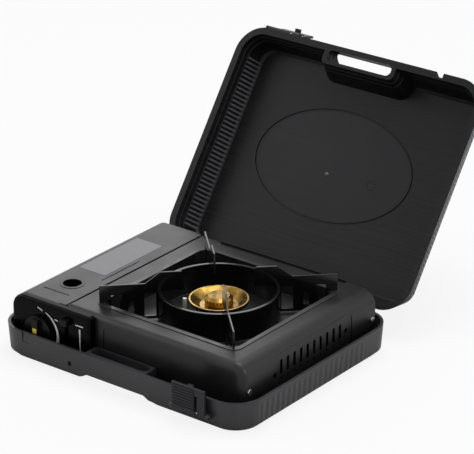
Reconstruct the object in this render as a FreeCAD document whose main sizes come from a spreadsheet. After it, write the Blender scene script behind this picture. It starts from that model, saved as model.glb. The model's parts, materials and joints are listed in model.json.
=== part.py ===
import FreeCAD, Part
import math
import os
import re

import Sketcher
from FreeCAD import Placement, Rotation, Vector

# A butane cassette stove standing in the open lower shell of its moulded carry case.
# Frame: +X to the right, the knob side faces -Y, +Z up, origin on the table under the
# middle of the case. Millimetres and degrees.

os.makedirs("parts", exist_ok=True)
doc = FreeCAD.newDocument("CassetteStove")

SIZES = {
    # stove body
    "body_length": 343.0,
    "body_depth": 261.0,
    "body_height": 68.0,
    "body_sheet": 1.2,
    "foot_height": 6.0,
    "foot_radius": 9.0,
    "foot_inset": 32.0,
    "side_round": 18.0,
    "front_round": 9.0,
    "rear_round": 5.0,
    "skirt_rise": 7.0,
    "rear_guard_height": 3.0,
    "rear_guard_length": 190.0,
    "pan_edge": 10.0,
    # pressed panels of the top sheet
    "panel_depth": 0.8,
    "panel_corner": 8.0,
    "panel_top_drop": 11.0,
    "front_panel_left": 12.0,
    "front_panel_right": 12.0,
    "side_panel_length": 162.0,
    "side_panel_rise": 4.0,
    # side vents
    "vent_count": 10,
    "vent_span": 115.0,
    "vent_shift": -1.5,
    "vent_width": 4.6,
    "vent_height": 16.0,
    "vent_top_drop": 20.0,
    "vent_dot_drop": 5.5,
    "vent_dot_radius": 1.9,
    "vent_end_out": 12.0,
    "vent_hole_radius": 3.0,
    # carry case
    "left_room": 15.0,
    "right_room": 16.5,
    "rear_room": 17.0,
    "knob_room": 2.1,
    "case_corner": 38.0,
    "case_wall": 3.5,
    "case_floor": 3.0,
    "base_height": 38.0,
    "base_draft": 4.0,
    "base_inner_draft": 2.0,
    "base_edge_round": 6.0,
    "lid_height": 42.0,
    "lid_inner_depth": 38.0,
    "lid_flange": 9.0,
    "lid_draft": 24.0,
    "lid_inner_draft": 15.0,
    "lid_edge_bevel": 4.5,
    "lid_inner_chamfer": 3.0,
    "lid_open": 126.0,
    "lid_oval_length": 238.0,
    "lid_oval_width": 147.0,
    "lid_oval_x": -7.0,
    "lid_oval_y": -8.0,
    "lid_oval_groove": 2.4,
    "lid_oval_depth": 1.0,
    # case handle
    "bay_beside_fascia": 1.75,
    "handle_bay_length": 92.0,
    "handle_slot_length": 86.0,
    "lid_slot_length": 98.0,
    "handle_slot_width": 14.5,
    "handle_bar": 7.0,
    "handle_inner_wall": 2.5,
    "lid_bay_length": 140.0,
    "lid_bay_reach": 41.0,
    "lid_bay_corner": 22.0,
    "lid_bay_draft": 20.0,
    "handle_undercut": 10.0,
    "handle_slope": 16.0,
    # case hinge
    "hinge_spacing": 220.0,
    "hinge_out": 5.0,
    "hinge_axis_drop": 4.5,
    "hinge_knuckle_radius": 4.5,
    "hinge_knuckle_length": 12.0,
    "hinge_pin_radius": 2.0,
    "running_gap": 0.05,
    "side_gap": 0.4,
    # case latches
    "latch_in": 72.0,
    "lid_latch_in": 48.0,
    "latch_length": 48.0,
    "latch_slot_in": 13.0,
    "latch_slot_width": 3.8,
    "latch_thick": 3.0,
    "latch_rise": 31.5,
    "latch_pivot_drop": 21.0,
    "latch_lean": 20.0,
    "latch_pin_radius": 1.5,
    "latch_boss_radius": 3.2,
    "latch_lug": 4.0,
    "latch_stand_off": 4.2,
    "latch_hook": 4.6,
    "latch_hook_width": 8.0,
    "latch_hook_height": 3.0,
    "latch_rib": 0.8,
    "latch_rib_count": 8,
    "catch_notch": 10.0,
    "catch_notch_drop": 14.0,
    # cartridge cover
    "cover_width": 76.0,
    "cover_gap": 3.0,
    "cover_side_drop": 35.0,
    "cover_pivot_in": 3.0,
    "cover_pivot_drop": 4.6,
    "cover_pin_radius": 1.5,
    "cover_ear": 5.0,
    "cover_relief": 6.0,
    "cover_hole_radius": 11.5,
    "cover_hole_in_x": 42.5,
    "cover_hole_in_y": 52.0,
    "cover_collar": 3.5,
    "cover_press": 0.6,
    "cover_groove_length": 38.0,
    "cover_groove_width": 3.0,
    "cover_groove_in_y": 23.0,
    "cover_ridge_in_x": 11.5,
    "cover_ridge_in_y": 81.0,
    "cover_ridge_length": 69.0,
    "cover_ridge_width": 2.0,
    # knob fascia
    "fascia_out": 10.0,
    "fascia_length": 122.5,
    "fascia_wall": 2.0,
    "fascia_round": 5.0,
    "fascia_rise": 3.0,
    # knob
    "knob_in_x": 43.5,
    "knob_rise": 27.0,
    "knob_radius": 21.5,
    "knob_disc": 4.0,
    "knob_height": 9.0,
    "knob_grip": 9.0,
    "knob_mark": 6.0,
    "stem_radius": 3.0,
    # lock lever
    "lever_in_x": 86.5,
    "lever_top_drop": 11.0,
    "lever_travel": 24.0,
    "lever_tab_width": 11.0,
    "lever_tab_height": 7.0,
    "lever_tab_out": 7.0,
    "lever_slot_width": 4.0,
    "lever_rod_width": 8.0,
    "lever_rod_depth": 2.0,
    "lever_rod_over": 3.0,
    # cartridge bay
    "divider_gap": 3.5,
    "divider_sheet": 1.0,
    "shield_in": 5.0,
    "cartridge_radius": 33.5,
    "cartridge_length": 185.0,
    "bay_drop": 4.5,
    "bay_side_in": 7.5,
    "bay_length": 204.5,
    "bay_width": 63.0,
    "bay_wall_drop": 4.0,
    "carriage_in": 12.0,
    "carriage_sheet": 1.2,
    "saddle_height": 20.0,
    # gas train
    "valve_in": 11.0,
    "valve_length": 32.0,
    "valve_depth": 24.0,
    "regulator_radius": 19.0,
    "regulator_depth": 16.0,
    "regulator_socket": 8.0,
    "gas_pipe_radius": 3.0,
    "jet_size": 12.0,
    "mixing_tube_radius": 9.0,
    "mixing_tube_wall": 1.5,
    # burner
    "burner_rise": 15.0,
    "burner_body_radius": 25.0,
    "burner_wall_thick": 3.0,
    "burner_neck_rise": 13.0,
    "burner_dish_height": 12.0,
    "burner_dish_radius": 36.0,
    "burner_cap_radius": 17.0,
    "burner_port_count": 24,
    "burner_port_width": 1.6,
    "burner_port_height": 4.0,
    "burner_port_depth": 2.5,
    "bracket_half_length": 42.0,
    "bracket_width": 18.0,
    "bracket_sheet": 1.5,
    "electrode_out": 29.0,
    "electrode_radius": 2.5,
    "electrode_rise": 18.0,
    # drip tray
    "tray_length": 213.0,
    "tray_depth": 209.0,
    "tray_side_margin": 31.0,
    "tray_corner": 12.0,
    "tray_well": 26.0,
    "tray_sheet": 0.9,
    "tray_flange": 5.0,
    "tray_gap": 0.5,
    "tray_hole_gap": 2.0,
    # trivet
    "ring_radius": 73.0,
    "ring_sheet": 1.2,
    "ring_rise": 12.0,
    "ring_lip": 4.0,
    "fin_sheet": 2.4,
    "fin_overhang": 2.5,
    "fin_leg": 12.0,
    "fin_rise": 11.0,
    "fin_nub_rise": 14.0,
    "fin_nub_in": 44.0,
    "fin_nub_out": 70.0,
    "fin_step_out": 88.0,
    # fasteners
    "screw_drop": 35.0,
    "screw_in": 10.0,
    "screw_radius": 3.4,
    "screw_head": 1.6,
    # smaller details
    "hinge_foot_rise": 6.0,
    "hinge_foot_in": 5.0,
    "base_catch_depth": 1.6,
    "lid_catch_depth": 6.0,
    "lid_lug_reach": 3.0,
    "latch_rib_in": 2.0,
    "latch_rib_stop": 16.0,
    "latch_rib_width": 2.0,
    "latch_slot_end": 9.0,
    "latch_slot_start": 6.0,
    "knob_grip_in": 2.0,
    "knob_mark_in": 1.5,
    "knob_mark_depth": 1.0,
    "knob_mark_low": 2.0,
    "knob_mark_high": 8.0,
    "stem_engage": 8.0,
    "valve_shift": 4.0,
    "valve_low_in": 4.0,
    "valve_top_in": 2.0,
    "mixing_tube_gap": 4.0,
    "carriage_side": 3.0,
    "saddle_sheet": 2.0,
    "saddle_gap": 0.3,
    "holder_out": 4.0,
    "holder_sheet": 1.5,
    "holder_rise": 25.0,
    "burner_rim_height": 4.0,
    "burner_rim_wall": 2.0,
    "burner_bowl_flat": 6.0,
    "burner_bowl_rise": 4.0,
    "burner_cap_step": 1.0,
    "burner_cap_bevel": 4.0,
    "burner_cap_crown": 3.0,
    "electrode_over": 2.0,
    "electrode_arm_width": 10.0,
    "electrode_arm_sheet": 2.0,
    "electrode_arm_length": 19.0,
    "fin_seat_gap": 0.2,
    "window_rim": 6.0,
}

# Places worked out from the sizes above.
DERIVED = {
    "front_room": "fascia_out + side_gap + knob_height + knob_room + case_wall",
    "case_length": "body_length + left_room + right_room",
    "case_depth": "body_depth + front_room + rear_room",
    "body_shift_x": "(left_room - right_room) / 2",
    "body_shift_y": "(front_room - rear_room) / 2",
    "half_depth": "case_depth / 2",
    "closed_top_z": "base_height + lid_height",
    "hinge_axis_y": "case_depth / 2 + hinge_out",
    "hinge_axis_z": "base_height - hinge_axis_drop",
    "hinge_bore_length": "3 * hinge_knuckle_length + 2 * side_gap + 2",
    "inner_length": "case_length - 2 * case_wall",
    "inner_depth": "case_depth - 2 * case_wall",
    "inner_corner": "case_corner - case_wall",
    "lid_inner_length": "case_length - 2 * lid_flange",
    "lid_inner_width": "case_depth - 2 * lid_flange",
    "lid_inner_corner": "case_corner - lid_flange",
    "slot_back_y": "-case_depth / 2 + handle_bar + handle_slot_width",
    "slot_middle_y": "-case_depth / 2 + handle_bar + handle_slot_width / 2",
    "slot_end_radius": "handle_slot_width / 2 - 0.01",
    "bay_back_y": "-case_depth / 2 + handle_bar + handle_slot_width + handle_inner_wall",
    "latch_x": "case_length / 2 - latch_in",
    "lid_latch_x": "-case_length / 2 + lid_latch_in",
    "latch_pivot_z": "base_height - latch_pivot_drop",
    "lid_latch_pivot_z": "base_height + latch_pivot_drop",
    "latch_pivot_y": "-case_depth / 2 - latch_stand_off",
    "pan_z": "case_floor + foot_height",
    "body_left_x": "body_shift_x - body_length / 2",
    "body_right_x": "body_shift_x + body_length / 2",
    "body_front_y": "body_shift_y - body_depth / 2",
    "body_rear_y": "body_shift_y + body_depth / 2",
    "body_top_z": "pan_z + body_height",
    "skirt_bottom_z": "pan_z + skirt_rise",
    "panel_top_z": "body_top_z - panel_top_drop",
    "panel_low_z": "skirt_bottom_z + side_panel_rise",
    "front_bevel": "0.75 * (front_round - body_sheet)",
    "rear_bevel": "0.75 * (rear_round - body_sheet)",
    "side_bevel": "0.75 * (side_round - body_sheet)",
    "vent_first_y": "body_shift_y + vent_shift - vent_span / 2",
    "vent_high_z": "body_top_z - vent_top_drop",
    "vent_low_z": "body_top_z - vent_top_drop - vent_height",
    "screw_z": "body_top_z - screw_drop",
    "cover_inner_x": "body_left_x + cover_width",
    "top_left_x": "cover_inner_x + cover_gap",
    "cover_side_bottom_z": "body_top_z - cover_side_drop",
    "cover_pivot_x": "cover_inner_x - cover_pivot_in",
    "cover_pivot_z": "body_top_z - cover_pivot_drop",
    "cover_hole_x": "body_left_x + cover_hole_in_x",
    "cover_hole_y": "body_front_y + cover_hole_in_y",
    "cover_groove_y": "body_front_y + cover_groove_in_y",
    "cover_ridge_x": "cover_inner_x - cover_ridge_in_x",
    "cover_ridge_y": "body_front_y + cover_ridge_in_y",
    "fascia_front_y": "body_front_y - fascia_out",
    "fascia_right_x": "body_left_x + fascia_length",
    "handle_middle_x": "fascia_right_x + bay_beside_fascia + handle_bay_length / 2",
    "fascia_bottom_z": "pan_z + fascia_rise",
    "knob_x": "body_left_x + knob_in_x",
    "knob_z": "pan_z + knob_rise",
    "lever_x": "body_left_x + lever_in_x",
    "lever_top_z": "body_top_z - lever_top_drop",
    "divider_x": "cover_inner_x + divider_gap",
    "shield_front_y": "body_front_y + shield_in",
    "bay_left_x": "body_left_x + bay_side_in",
    "bay_right_x": "bay_left_x + bay_width",
    "bay_rear_y": "body_rear_y - 3 * body_sheet",
    "bay_front_y": "bay_rear_y - bay_length",
    "bay_wall_top_z": "body_top_z - bay_wall_drop",
    "bay_floor_z": "case_floor + foot_height - bay_drop",
    "bay_floor_top_z": "bay_floor_z + body_sheet",
    "carriage_z": "bay_floor_top_z + side_gap",
    "carriage_front_y": "bay_front_y + carriage_in",
    "cartridge_axis_x": "bay_left_x + bay_width / 2",
    "cartridge_axis_z": "carriage_z + carriage_sheet + side_gap + cartridge_radius",
    "valve_front_y": "body_front_y + valve_in",
    "valve_right_x": "knob_x + valve_length / 2 + valve_shift",
    "regulator_y": "valve_front_y + valve_depth",
    "gas_pipe_y": "valve_front_y + valve_depth / 2",
    "gas_pipe_z": "knob_z",
    "mixing_tube_y": "gas_pipe_y + jet_size / 2 + mixing_tube_gap",
    "tray_middle_x": "body_right_x - tray_side_margin - tray_length / 2",
    "tray_middle_y": "body_shift_y - 1",
    "tray_floor_z": "body_top_z - tray_well",
    "tray_hole_radius": "burner_body_radius + tray_hole_gap",
    "hole_length": "tray_length - 2 * tray_flange",
    "hole_depth": "tray_depth - 2 * tray_flange",
    "well_length": "hole_length - 2 * tray_gap",
    "well_depth": "hole_depth - 2 * tray_gap",
    "well_inner_length": "well_length - 2 * tray_sheet",
    "well_inner_depth": "well_depth - 2 * tray_sheet",
    "well_inner_corner": "tray_corner - tray_sheet",
    "burner_base_z": "pan_z + burner_rise",
    "burner_neck_z": "tray_floor_z + burner_neck_rise",
    "burner_dish_z": "burner_neck_z + burner_dish_height",
    "burner_cap_shoulder_z": "burner_dish_z + burner_cap_step",
    "electrode_low_z": "burner_base_z + electrode_rise",
    "ring_top_z": "body_top_z + ring_rise",
    "fin_foot_z": "tray_floor_z + tray_sheet",
    "fin_reach": "min(well_length; well_depth) / sqrt(2) + fin_overhang",
    "fin_top_z": "ring_top_z + fin_rise",
    "fin_nub_z": "fin_top_z + fin_nub_rise",
    "fin_seat_z": "body_top_z + tray_sheet + fin_seat_gap",
    "window_low_z": "fin_foot_z + window_rim",
    "window_top_z": "ring_top_z - 2",
}

sheet = doc.addObject("Spreadsheet::Sheet", "Sizes")
scratch = doc.addObject("Spreadsheet::Sheet", "Scratch")


def ref(text):
    """Expression with each alias pointed at the sheet."""
    return re.sub(r"[a-z]+(?:_[a-z]+)+", lambda word: "Sizes." + word.group(0), str(text))


for row, (alias, number) in enumerate(SIZES.items(), start=1):
    sheet.set(f"A{row}", alias)
    sheet.set(f"B{row}", str(number))
    sheet.setAlias(f"B{row}", alias)
for row, (alias, formula) in enumerate(DERIVED.items(), start=len(SIZES) + 2):
    sheet.set(f"A{row}", alias)
    sheet.set(f"B{row}", "=" + formula)
    sheet.setAlias(f"B{row}", alias)
doc.recompute()


def value(text):
    """Number that an expression gives now."""
    scratch.set("A1", "=" + ref(text))
    scratch.recompute()
    return float(scratch.get("A1"))


def bind(obj, **links):
    """Ties properties to expressions; a double underscore stands for a dot."""
    for name, text in links.items():
        obj.setExpression(name.replace("__", "."), ref(text))
    return obj


def place(obj, x="0", y="0", z="0", turn=None):
    """Puts an object at an expression-bound point, after an optional fixed rotation."""
    obj.Placement = Placement(Vector(value(x), value(y), value(z)), turn or Rotation())
    bind(obj, Placement__Base__x=x, Placement__Base__y=y, Placement__Base__z=z)
    return obj


# Part primitives and booleans.

ALONG = {
    "x": Rotation(Vector(0, 1, 0), 90),
    "y": Rotation(Vector(1, 0, 0), -90),
    "z": Rotation(),
}


def box(name, x_from, x_to, y_from, y_to, z_from, z_to):
    block = doc.addObject("Part::Box", name)
    place(block, x_from, y_from, z_from)
    return bind(block, Length=f"({x_to}) - ({x_from})", Width=f"({y_to}) - ({y_from})",
                Height=f"({z_to}) - ({z_from})")


def cylinder(name, x, y, z, radius, length, along="z"):
    rod = doc.addObject("Part::Cylinder", name)
    place(rod, x, y, z, ALONG[along])
    return bind(rod, Radius=radius, Height=length)


def six_sided(name, x, y, z, radius, length, along="z"):
    rod = doc.addObject("Part::Prism", name)
    rod.Polygon = 6
    place(rod, x, y, z, ALONG[along])
    return bind(rod, Circumradius=radius, Height=length)


def fuse(name, *parts):
    union = doc.addObject("Part::MultiFuse", name)
    union.Shapes = list(parts)
    union.Refine = True
    return union


def cut(name, base, *tools):
    result = doc.addObject("Part::Cut", name)
    result.Base = base
    result.Tool = tools[0] if len(tools) == 1 else fuse(name + "_tools", *tools)
    result.Refine = True
    return result


def group(name, *parts):
    """Separate solids that share one node."""
    compound = doc.addObject("Part::Compound", name)
    compound.Links = list(parts)
    return compound


# PartDesign bodies.

def new_body(name):
    return doc.addObject("PartDesign::Body", name)


def sketch(body, name, role, offset="0", x="0", y="0"):
    """Sketch on one of the body's own origin planes, shifted by expressions."""
    drawing = body.newObject("Sketcher::SketchObject", name)
    plane = [f for f in body.Origin.OriginFeatures if f.Role == role][0]
    drawing.AttachmentSupport = [(plane, "")]
    drawing.MapMode = "FlatFace"
    bind(drawing, AttachmentOffset__Base__x=x, AttachmentOffset__Base__y=y,
         AttachmentOffset__Base__z=offset)
    return drawing


def constrain(drawing, kind, *where, size=None, link=None):
    """Adds a constraint and ties its size to an expression."""
    args = list(where) if size is None else list(where) + [size]
    index = drawing.addConstraint(Sketcher.Constraint(kind, *args))
    if link is not None:
        label = f"size{index}"
        drawing.renameConstraint(index, label)
        drawing.setExpression("Constraints." + label, ref(link))


def rounded_rectangle(drawing, length, width, radius):
    """Rectangle centred on the sketch's origin with round corners."""
    half_x, half_y, corner = value(length) / 2, value(width) / 2, value(radius)
    in_x, in_y = half_x - corner, half_y - corner
    lines = [
        (-in_x, -half_y, in_x, -half_y),
        (half_x, -in_y, half_x, in_y),
        (in_x, half_y, -in_x, half_y),
        (-half_x, in_y, -half_x, -in_y),
    ]
    centres = [(in_x, -in_y, -90), (in_x, in_y, 0), (-in_x, in_y, 90), (-in_x, -in_y, 180)]
    for x1, y1, x2, y2 in lines:
        drawing.addGeometry(Part.LineSegment(Vector(x1, y1, 0), Vector(x2, y2, 0)))
    for x, y, start in centres:
        circle = Part.Circle(Vector(x, y, 0), Vector(0, 0, 1), corner)
        drawing.addGeometry(Part.ArcOfCircle(circle, math.radians(start), math.radians(start + 90)))
    for side in range(4):
        constrain(drawing, "Tangent", side, 2, 4 + side, 1)
        constrain(drawing, "Tangent", 4 + side, 2, (side + 1) % 4, 1)
    for side, kind in enumerate(("Horizontal", "Vertical", "Horizontal", "Vertical")):
        constrain(drawing, kind, side)
    constrain(drawing, "Symmetric", 5, 3, 7, 3, -1, 1)
    constrain(drawing, "Equal", 4, 5)
    constrain(drawing, "Radius", 4, size=corner, link=radius)
    constrain(drawing, "DistanceX", 7, 3, 5, 3, size=2 * in_x,
              link=f"{length} - 2 * ({radius})")
    constrain(drawing, "DistanceY", 7, 3, 5, 3, size=2 * in_y,
              link=f"{width} - 2 * ({radius})")
    return drawing


def outline(drawing, points):
    """Closed outline of straight lines through expression-bound points."""
    spots = [(value(u), value(v)) for u, v in points]
    count = len(spots)
    for index, spot in enumerate(spots):
        following = spots[(index + 1) % count]
        drawing.addGeometry(Part.LineSegment(Vector(*spot, 0), Vector(*following, 0)))
    for index, (u, v) in enumerate(points):
        constrain(drawing, "Coincident", index, 2, (index + 1) % count, 1)
        constrain(drawing, "DistanceX", -1, 1, index, 1, size=spots[index][0], link=u)
        constrain(drawing, "DistanceY", -1, 1, index, 1, size=spots[index][1], link=v)
    return drawing


def circle(drawing, radius, u="0", v="0"):
    index = drawing.addGeometry(Part.Circle(Vector(value(u), value(v), 0), Vector(0, 0, 1),
                                            value(radius)))
    constrain(drawing, "Radius", index, size=value(radius), link=radius)
    constrain(drawing, "DistanceX", -1, 1, index, 3, size=value(u), link=u)
    constrain(drawing, "DistanceY", -1, 1, index, 3, size=value(v), link=v)
    return drawing


def feature(body, kind, name, drawing, length, reverse=False, taper=None, both=False):
    """Pad or pocket of a sketch."""
    made = body.newObject("PartDesign::" + kind, name)
    made.Profile = drawing
    made.Reversed = reverse
    made.Midplane = both
    bind(made, Length=length)
    if taper is not None:
        bind(made, TaperAngle=taper)
    doc.recompute()
    return made


def round_edges(body, name, size, wanted, kind="Fillet"):
    """Fillet or chamfer on the tip's edges that a test picks."""
    tip = body.Tip
    names = [f"Edge{i}" for i, edge in enumerate(tip.Shape.Edges, start=1) if wanted(edge)]
    rounded = body.newObject("PartDesign::" + kind, name)
    rounded.Base = (tip, names)
    bind(rounded, **{"Radius" if kind == "Fillet" else "Size": size})
    doc.recompute()
    return rounded


def edge_box(edge):
    return edge.BoundBox


def flat_at(height, tolerance=0.01):
    """Edges that lie in a level plane."""
    def test(edge):
        bounds = edge_box(edge)
        return abs(bounds.ZMin - height) < tolerance and abs(bounds.ZMax - height) < tolerance
    return test


nodes = {}


def keep(node, obj):
    """Names a finished piece."""
    obj.Label = node
    nodes[node] = obj
    return obj


# Carry case, lower shell. Both shells are moulded walls with a draft; the handle is a bar
# at the front with a finger slot behind it, and a thin wall keeps the slot out of the well.

def moulding(name, length, width, corner, level, depth, draft, upward, edge=None, kind="Fillet"):
    """Tapered block from the parting plane; its closed end may be rounded or chamfered."""
    body = new_body(name)
    plan = rounded_rectangle(sketch(body, name + "_plan", "XY_Plane", level), length, width, corner)
    feature(body, "Pad", name + "_block", plan, depth, reverse=not upward, taper="-" + draft)
    end = value(level) + (value(depth) if upward else -value(depth))
    if edge:
        round_edges(body, name + "_edge", edge, flat_at(end), kind)
    return body


def handle_slot(name, length, z_from, z_to):
    body = new_body(name)
    plan = sketch(body, name + "_plan", "XY_Plane", z_from, "handle_middle_x", "slot_middle_y")
    rounded_rectangle(plan, length, "handle_slot_width", "slot_end_radius")
    feature(body, "Pad", name + "_block", plan, f"({z_to}) - ({z_from})")
    return body


def handle_block(name, z_from, z_to, y_from):
    return box(name, "handle_middle_x - handle_bay_length / 2",
               "handle_middle_x + handle_bay_length / 2", y_from, "bay_back_y", z_from, z_to)


base_outer = moulding("base_outer", "case_length", "case_depth", "case_corner", "base_height",
                      "base_height", "base_draft", False, "base_edge_round", "Chamfer")
base_inner = moulding("base_inner", "inner_length", "inner_depth", "inner_corner", "base_height",
                      "base_height - case_floor", "base_inner_draft", False)
base_well = cut("base_well", base_inner,
                handle_block("base_bay", "0", "base_height + 1", "-half_depth"))
undercut = new_body("undercut")
arch = outline(sketch(undercut, "undercut_arch", "XZ_Plane"), [
    ("-handle_bay_length / 2 - handle_slope", "-1"), ("handle_bay_length / 2 + handle_slope", "-1"),
    ("handle_slot_length / 2", "handle_undercut"), ("-handle_slot_length / 2", "handle_undercut"),
])
feature(undercut, "Pad", "undercut_block", arch, "2 * (handle_bar + handle_slot_width)", both=True)
place(undercut, "handle_middle_x", "-half_depth", "0")

HINGE_SIDES = {"left": "-1", "right": "1"}


def hinge_x(side, shift="0"):
    return f"{side} * hinge_spacing / 2 + ({shift})"


def hinge_barrel(name, side, shift, length):
    return cylinder(name, hinge_x(side, shift), "hinge_axis_y", "hinge_axis_z",
                    "hinge_knuckle_radius", length, "x")


base_extras = []
for tag, side in HINGE_SIDES.items():
    for end, shift in (("inner", "-3 * hinge_knuckle_length / 2 - side_gap"),
                       ("outer", "hinge_knuckle_length / 2 + side_gap")):
        name = f"base_knuckle_{tag}_{end}"
        base_extras.append(hinge_barrel(name, side, shift, "hinge_knuckle_length"))
        start = hinge_x(side, shift)
        base_extras.append(box(name + "_web", start, f"{start} + hinge_knuckle_length",
                               "half_depth - case_wall", "hinge_axis_y",
                               "hinge_axis_z - hinge_knuckle_radius", "hinge_axis_z"))


def latch_lugs(name, middle, pivot_z, wall):
    """Two ears beside a latch, with the pin's bore still to cut."""
    lugs = []
    for tag, start in (("left", f"{middle} - latch_length / 2 - side_gap - latch_lug"),
                       ("right", f"{middle} + latch_length / 2 + side_gap")):
        lugs.append(cylinder(f"{name}_lug_{tag}", start, "latch_pivot_y", pivot_z,
                             "latch_boss_radius", "latch_lug", "x"))
        lugs.append(box(f"{name}_lug_{tag}_web", start, f"{start} + latch_lug", "latch_pivot_y",
                        f"-half_depth + {wall}", f"{pivot_z} - latch_boss_radius",
                        f"{pivot_z} + latch_boss_radius"))
    return lugs


def latch_bore(name, middle, pivot_z, radius, over):
    return cylinder(name, f"{middle} - latch_length / 2 - side_gap - latch_lug - {over}",
                    "latch_pivot_y", pivot_z, radius,
                    f"latch_length + 2 * side_gap + 2 * latch_lug + 2 * {over}", "x")


base_extras += latch_lugs("base_latch", "latch_x", "latch_pivot_z", "case_wall")
hinge_bores = [
    cylinder(f"hinge_bore_{tag}", hinge_x(side, "-hinge_bore_length / 2"),
             "hinge_axis_y", "hinge_axis_z", "hinge_pin_radius", "hinge_bore_length", "x")
    for tag, side in HINGE_SIDES.items()
]
catch_notch = box("base_catch", "lid_latch_x - catch_notch / 2", "lid_latch_x + catch_notch / 2",
                  "-half_depth - 1", "-half_depth + base_catch_depth",
                  "base_height - catch_notch_drop",
                  "base_height + 1")
base_solid = fuse("base_solid", cut("base_shell", base_outer, base_well), *base_extras)
keep("case_base", cut("case_base", base_solid, undercut, catch_notch,
                      handle_slot("base_slot", "handle_slot_length", "-1", "base_height + 1"), *hinge_bores,
                      latch_bore("base_latch_bore", "latch_x", "latch_pivot_z",
                                 "latch_pin_radius", "1")))

# Hinge pins, tight in the lower shell's knuckles.
keep("hinge_pins", group("hinge_pins", *[
    cylinder(f"hinge_pin_{tag}",
             hinge_x(side, "-3 * hinge_knuckle_length / 2 - side_gap"), "hinge_axis_y",
             "hinge_axis_z", "hinge_pin_radius", "3 * hinge_knuckle_length + 2 * side_gap", "x")
    for tag, side in HINGE_SIDES.items()]))

# Carry case, upper shell, modelled shut and then turned open about the hinge pins.

lid_outer = moulding("lid_outer", "case_length", "case_depth", "case_corner", "base_height",
                     "lid_height", "lid_draft", True, "lid_edge_bevel", "Chamfer")
lid_inner = moulding("lid_inner", "lid_inner_length", "lid_inner_width", "lid_inner_corner",
                     "base_height", "lid_inner_depth", "lid_inner_draft", True,
                     "lid_inner_chamfer", "Chamfer")
lid_bay = new_body("lid_bay")
lid_bay_plan = sketch(lid_bay, "lid_bay_plan", "XY_Plane", "closed_top_z", "handle_middle_x",
                      "-half_depth")
rounded_rectangle(lid_bay_plan, "lid_bay_length", "2 * lid_bay_reach", "lid_bay_corner")
feature(lid_bay, "Pad", "lid_bay_block", lid_bay_plan, "lid_height + 1", reverse=True,
        taper="-lid_bay_draft")
lid_well = cut("lid_well", lid_inner, lid_bay)
lid_extras = []
for tag, side in HINGE_SIDES.items():
    start = hinge_x(side, "-hinge_knuckle_length / 2")
    lid_extras.append(hinge_barrel(f"lid_knuckle_{tag}", side, "-hinge_knuckle_length / 2",
                                   "hinge_knuckle_length"))
    lid_extras.append(box(f"lid_knuckle_{tag}_web", start, f"{start} + hinge_knuckle_length",
                          "half_depth + side_gap", "hinge_axis_y + hinge_knuckle_radius",
                          "hinge_axis_z", "base_height + hinge_foot_rise"))
    lid_extras.append(box(f"lid_knuckle_{tag}_foot", start, f"{start} + hinge_knuckle_length",
                          "half_depth - hinge_foot_in", "half_depth + 1", "base_height",
                          "base_height + hinge_foot_rise"))
lid_extras += latch_lugs("lid_latch", "lid_latch_x", "lid_latch_pivot_z",
                        "lid_flange + lid_lug_reach")
lid_bores = [
    cylinder(f"lid_hinge_bore_{tag}", hinge_x(side, "-hinge_bore_length / 2"),
             "hinge_axis_y", "hinge_axis_z", "hinge_pin_radius + running_gap",
             "hinge_bore_length", "x")
    for tag, side in HINGE_SIDES.items()
]
lid_catch = box("lid_catch", "latch_x - catch_notch / 2", "latch_x + catch_notch / 2",
                "-half_depth - 1", "-half_depth + lid_catch_depth", "base_height - 1",
                "base_height + catch_notch_drop")
lid_solid = fuse("lid_solid", cut("lid_shell", lid_outer, lid_well), *lid_extras)


def oval_plate(name, shrink):
    """Upright oval block that reaches into the lid's floor."""
    rim = doc.addObject("Part::Ellipse", name + "_rim")
    place(rim, "lid_oval_x", "lid_oval_y", "base_height + lid_inner_depth - 1")
    bind(rim, MajorRadius=f"lid_oval_length / 2 - ({shrink})",
         MinorRadius=f"lid_oval_width / 2 - ({shrink})")
    plate = doc.addObject("Part::Extrusion", name)
    plate.Base = rim
    plate.Dir = Vector(0, 0, 1)
    plate.Solid = True
    return bind(plate, LengthFwd="lid_oval_depth + 1")


lid_groove = cut("lid_groove", oval_plate("oval_outer", "0"),
                 oval_plate("oval_inner", "lid_oval_groove"))
lid_shut = cut("lid_shut", lid_solid, lid_catch, lid_groove,
               handle_slot("lid_slot", "lid_slot_length", "base_height - 1", "closed_top_z + 1"), *lid_bores,
               latch_bore("lid_latch_bore", "lid_latch_x", "lid_latch_pivot_z",
                          "latch_pin_radius", "1"))


def turned_about(y, z, angle):
    """Turn about an axis that runs along X."""
    return Placement(Vector(), Rotation(Vector(1, 0, 0), angle), Vector(0, value(y), value(z)))


def open_with_lid(obj, before=None):
    """Turns a piece modelled on the shut lid to the open position, after a turn of its own."""
    opened = turned_about("hinge_axis_y", "hinge_axis_z", -value("lid_open"))
    obj.Placement = opened.multiply(before) if before else opened
    return obj


keep("case_lid", open_with_lid(lid_shut))


# Latches. Each is a ribbed plate on a pin, with a hook that reaches over the other shell.

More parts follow.
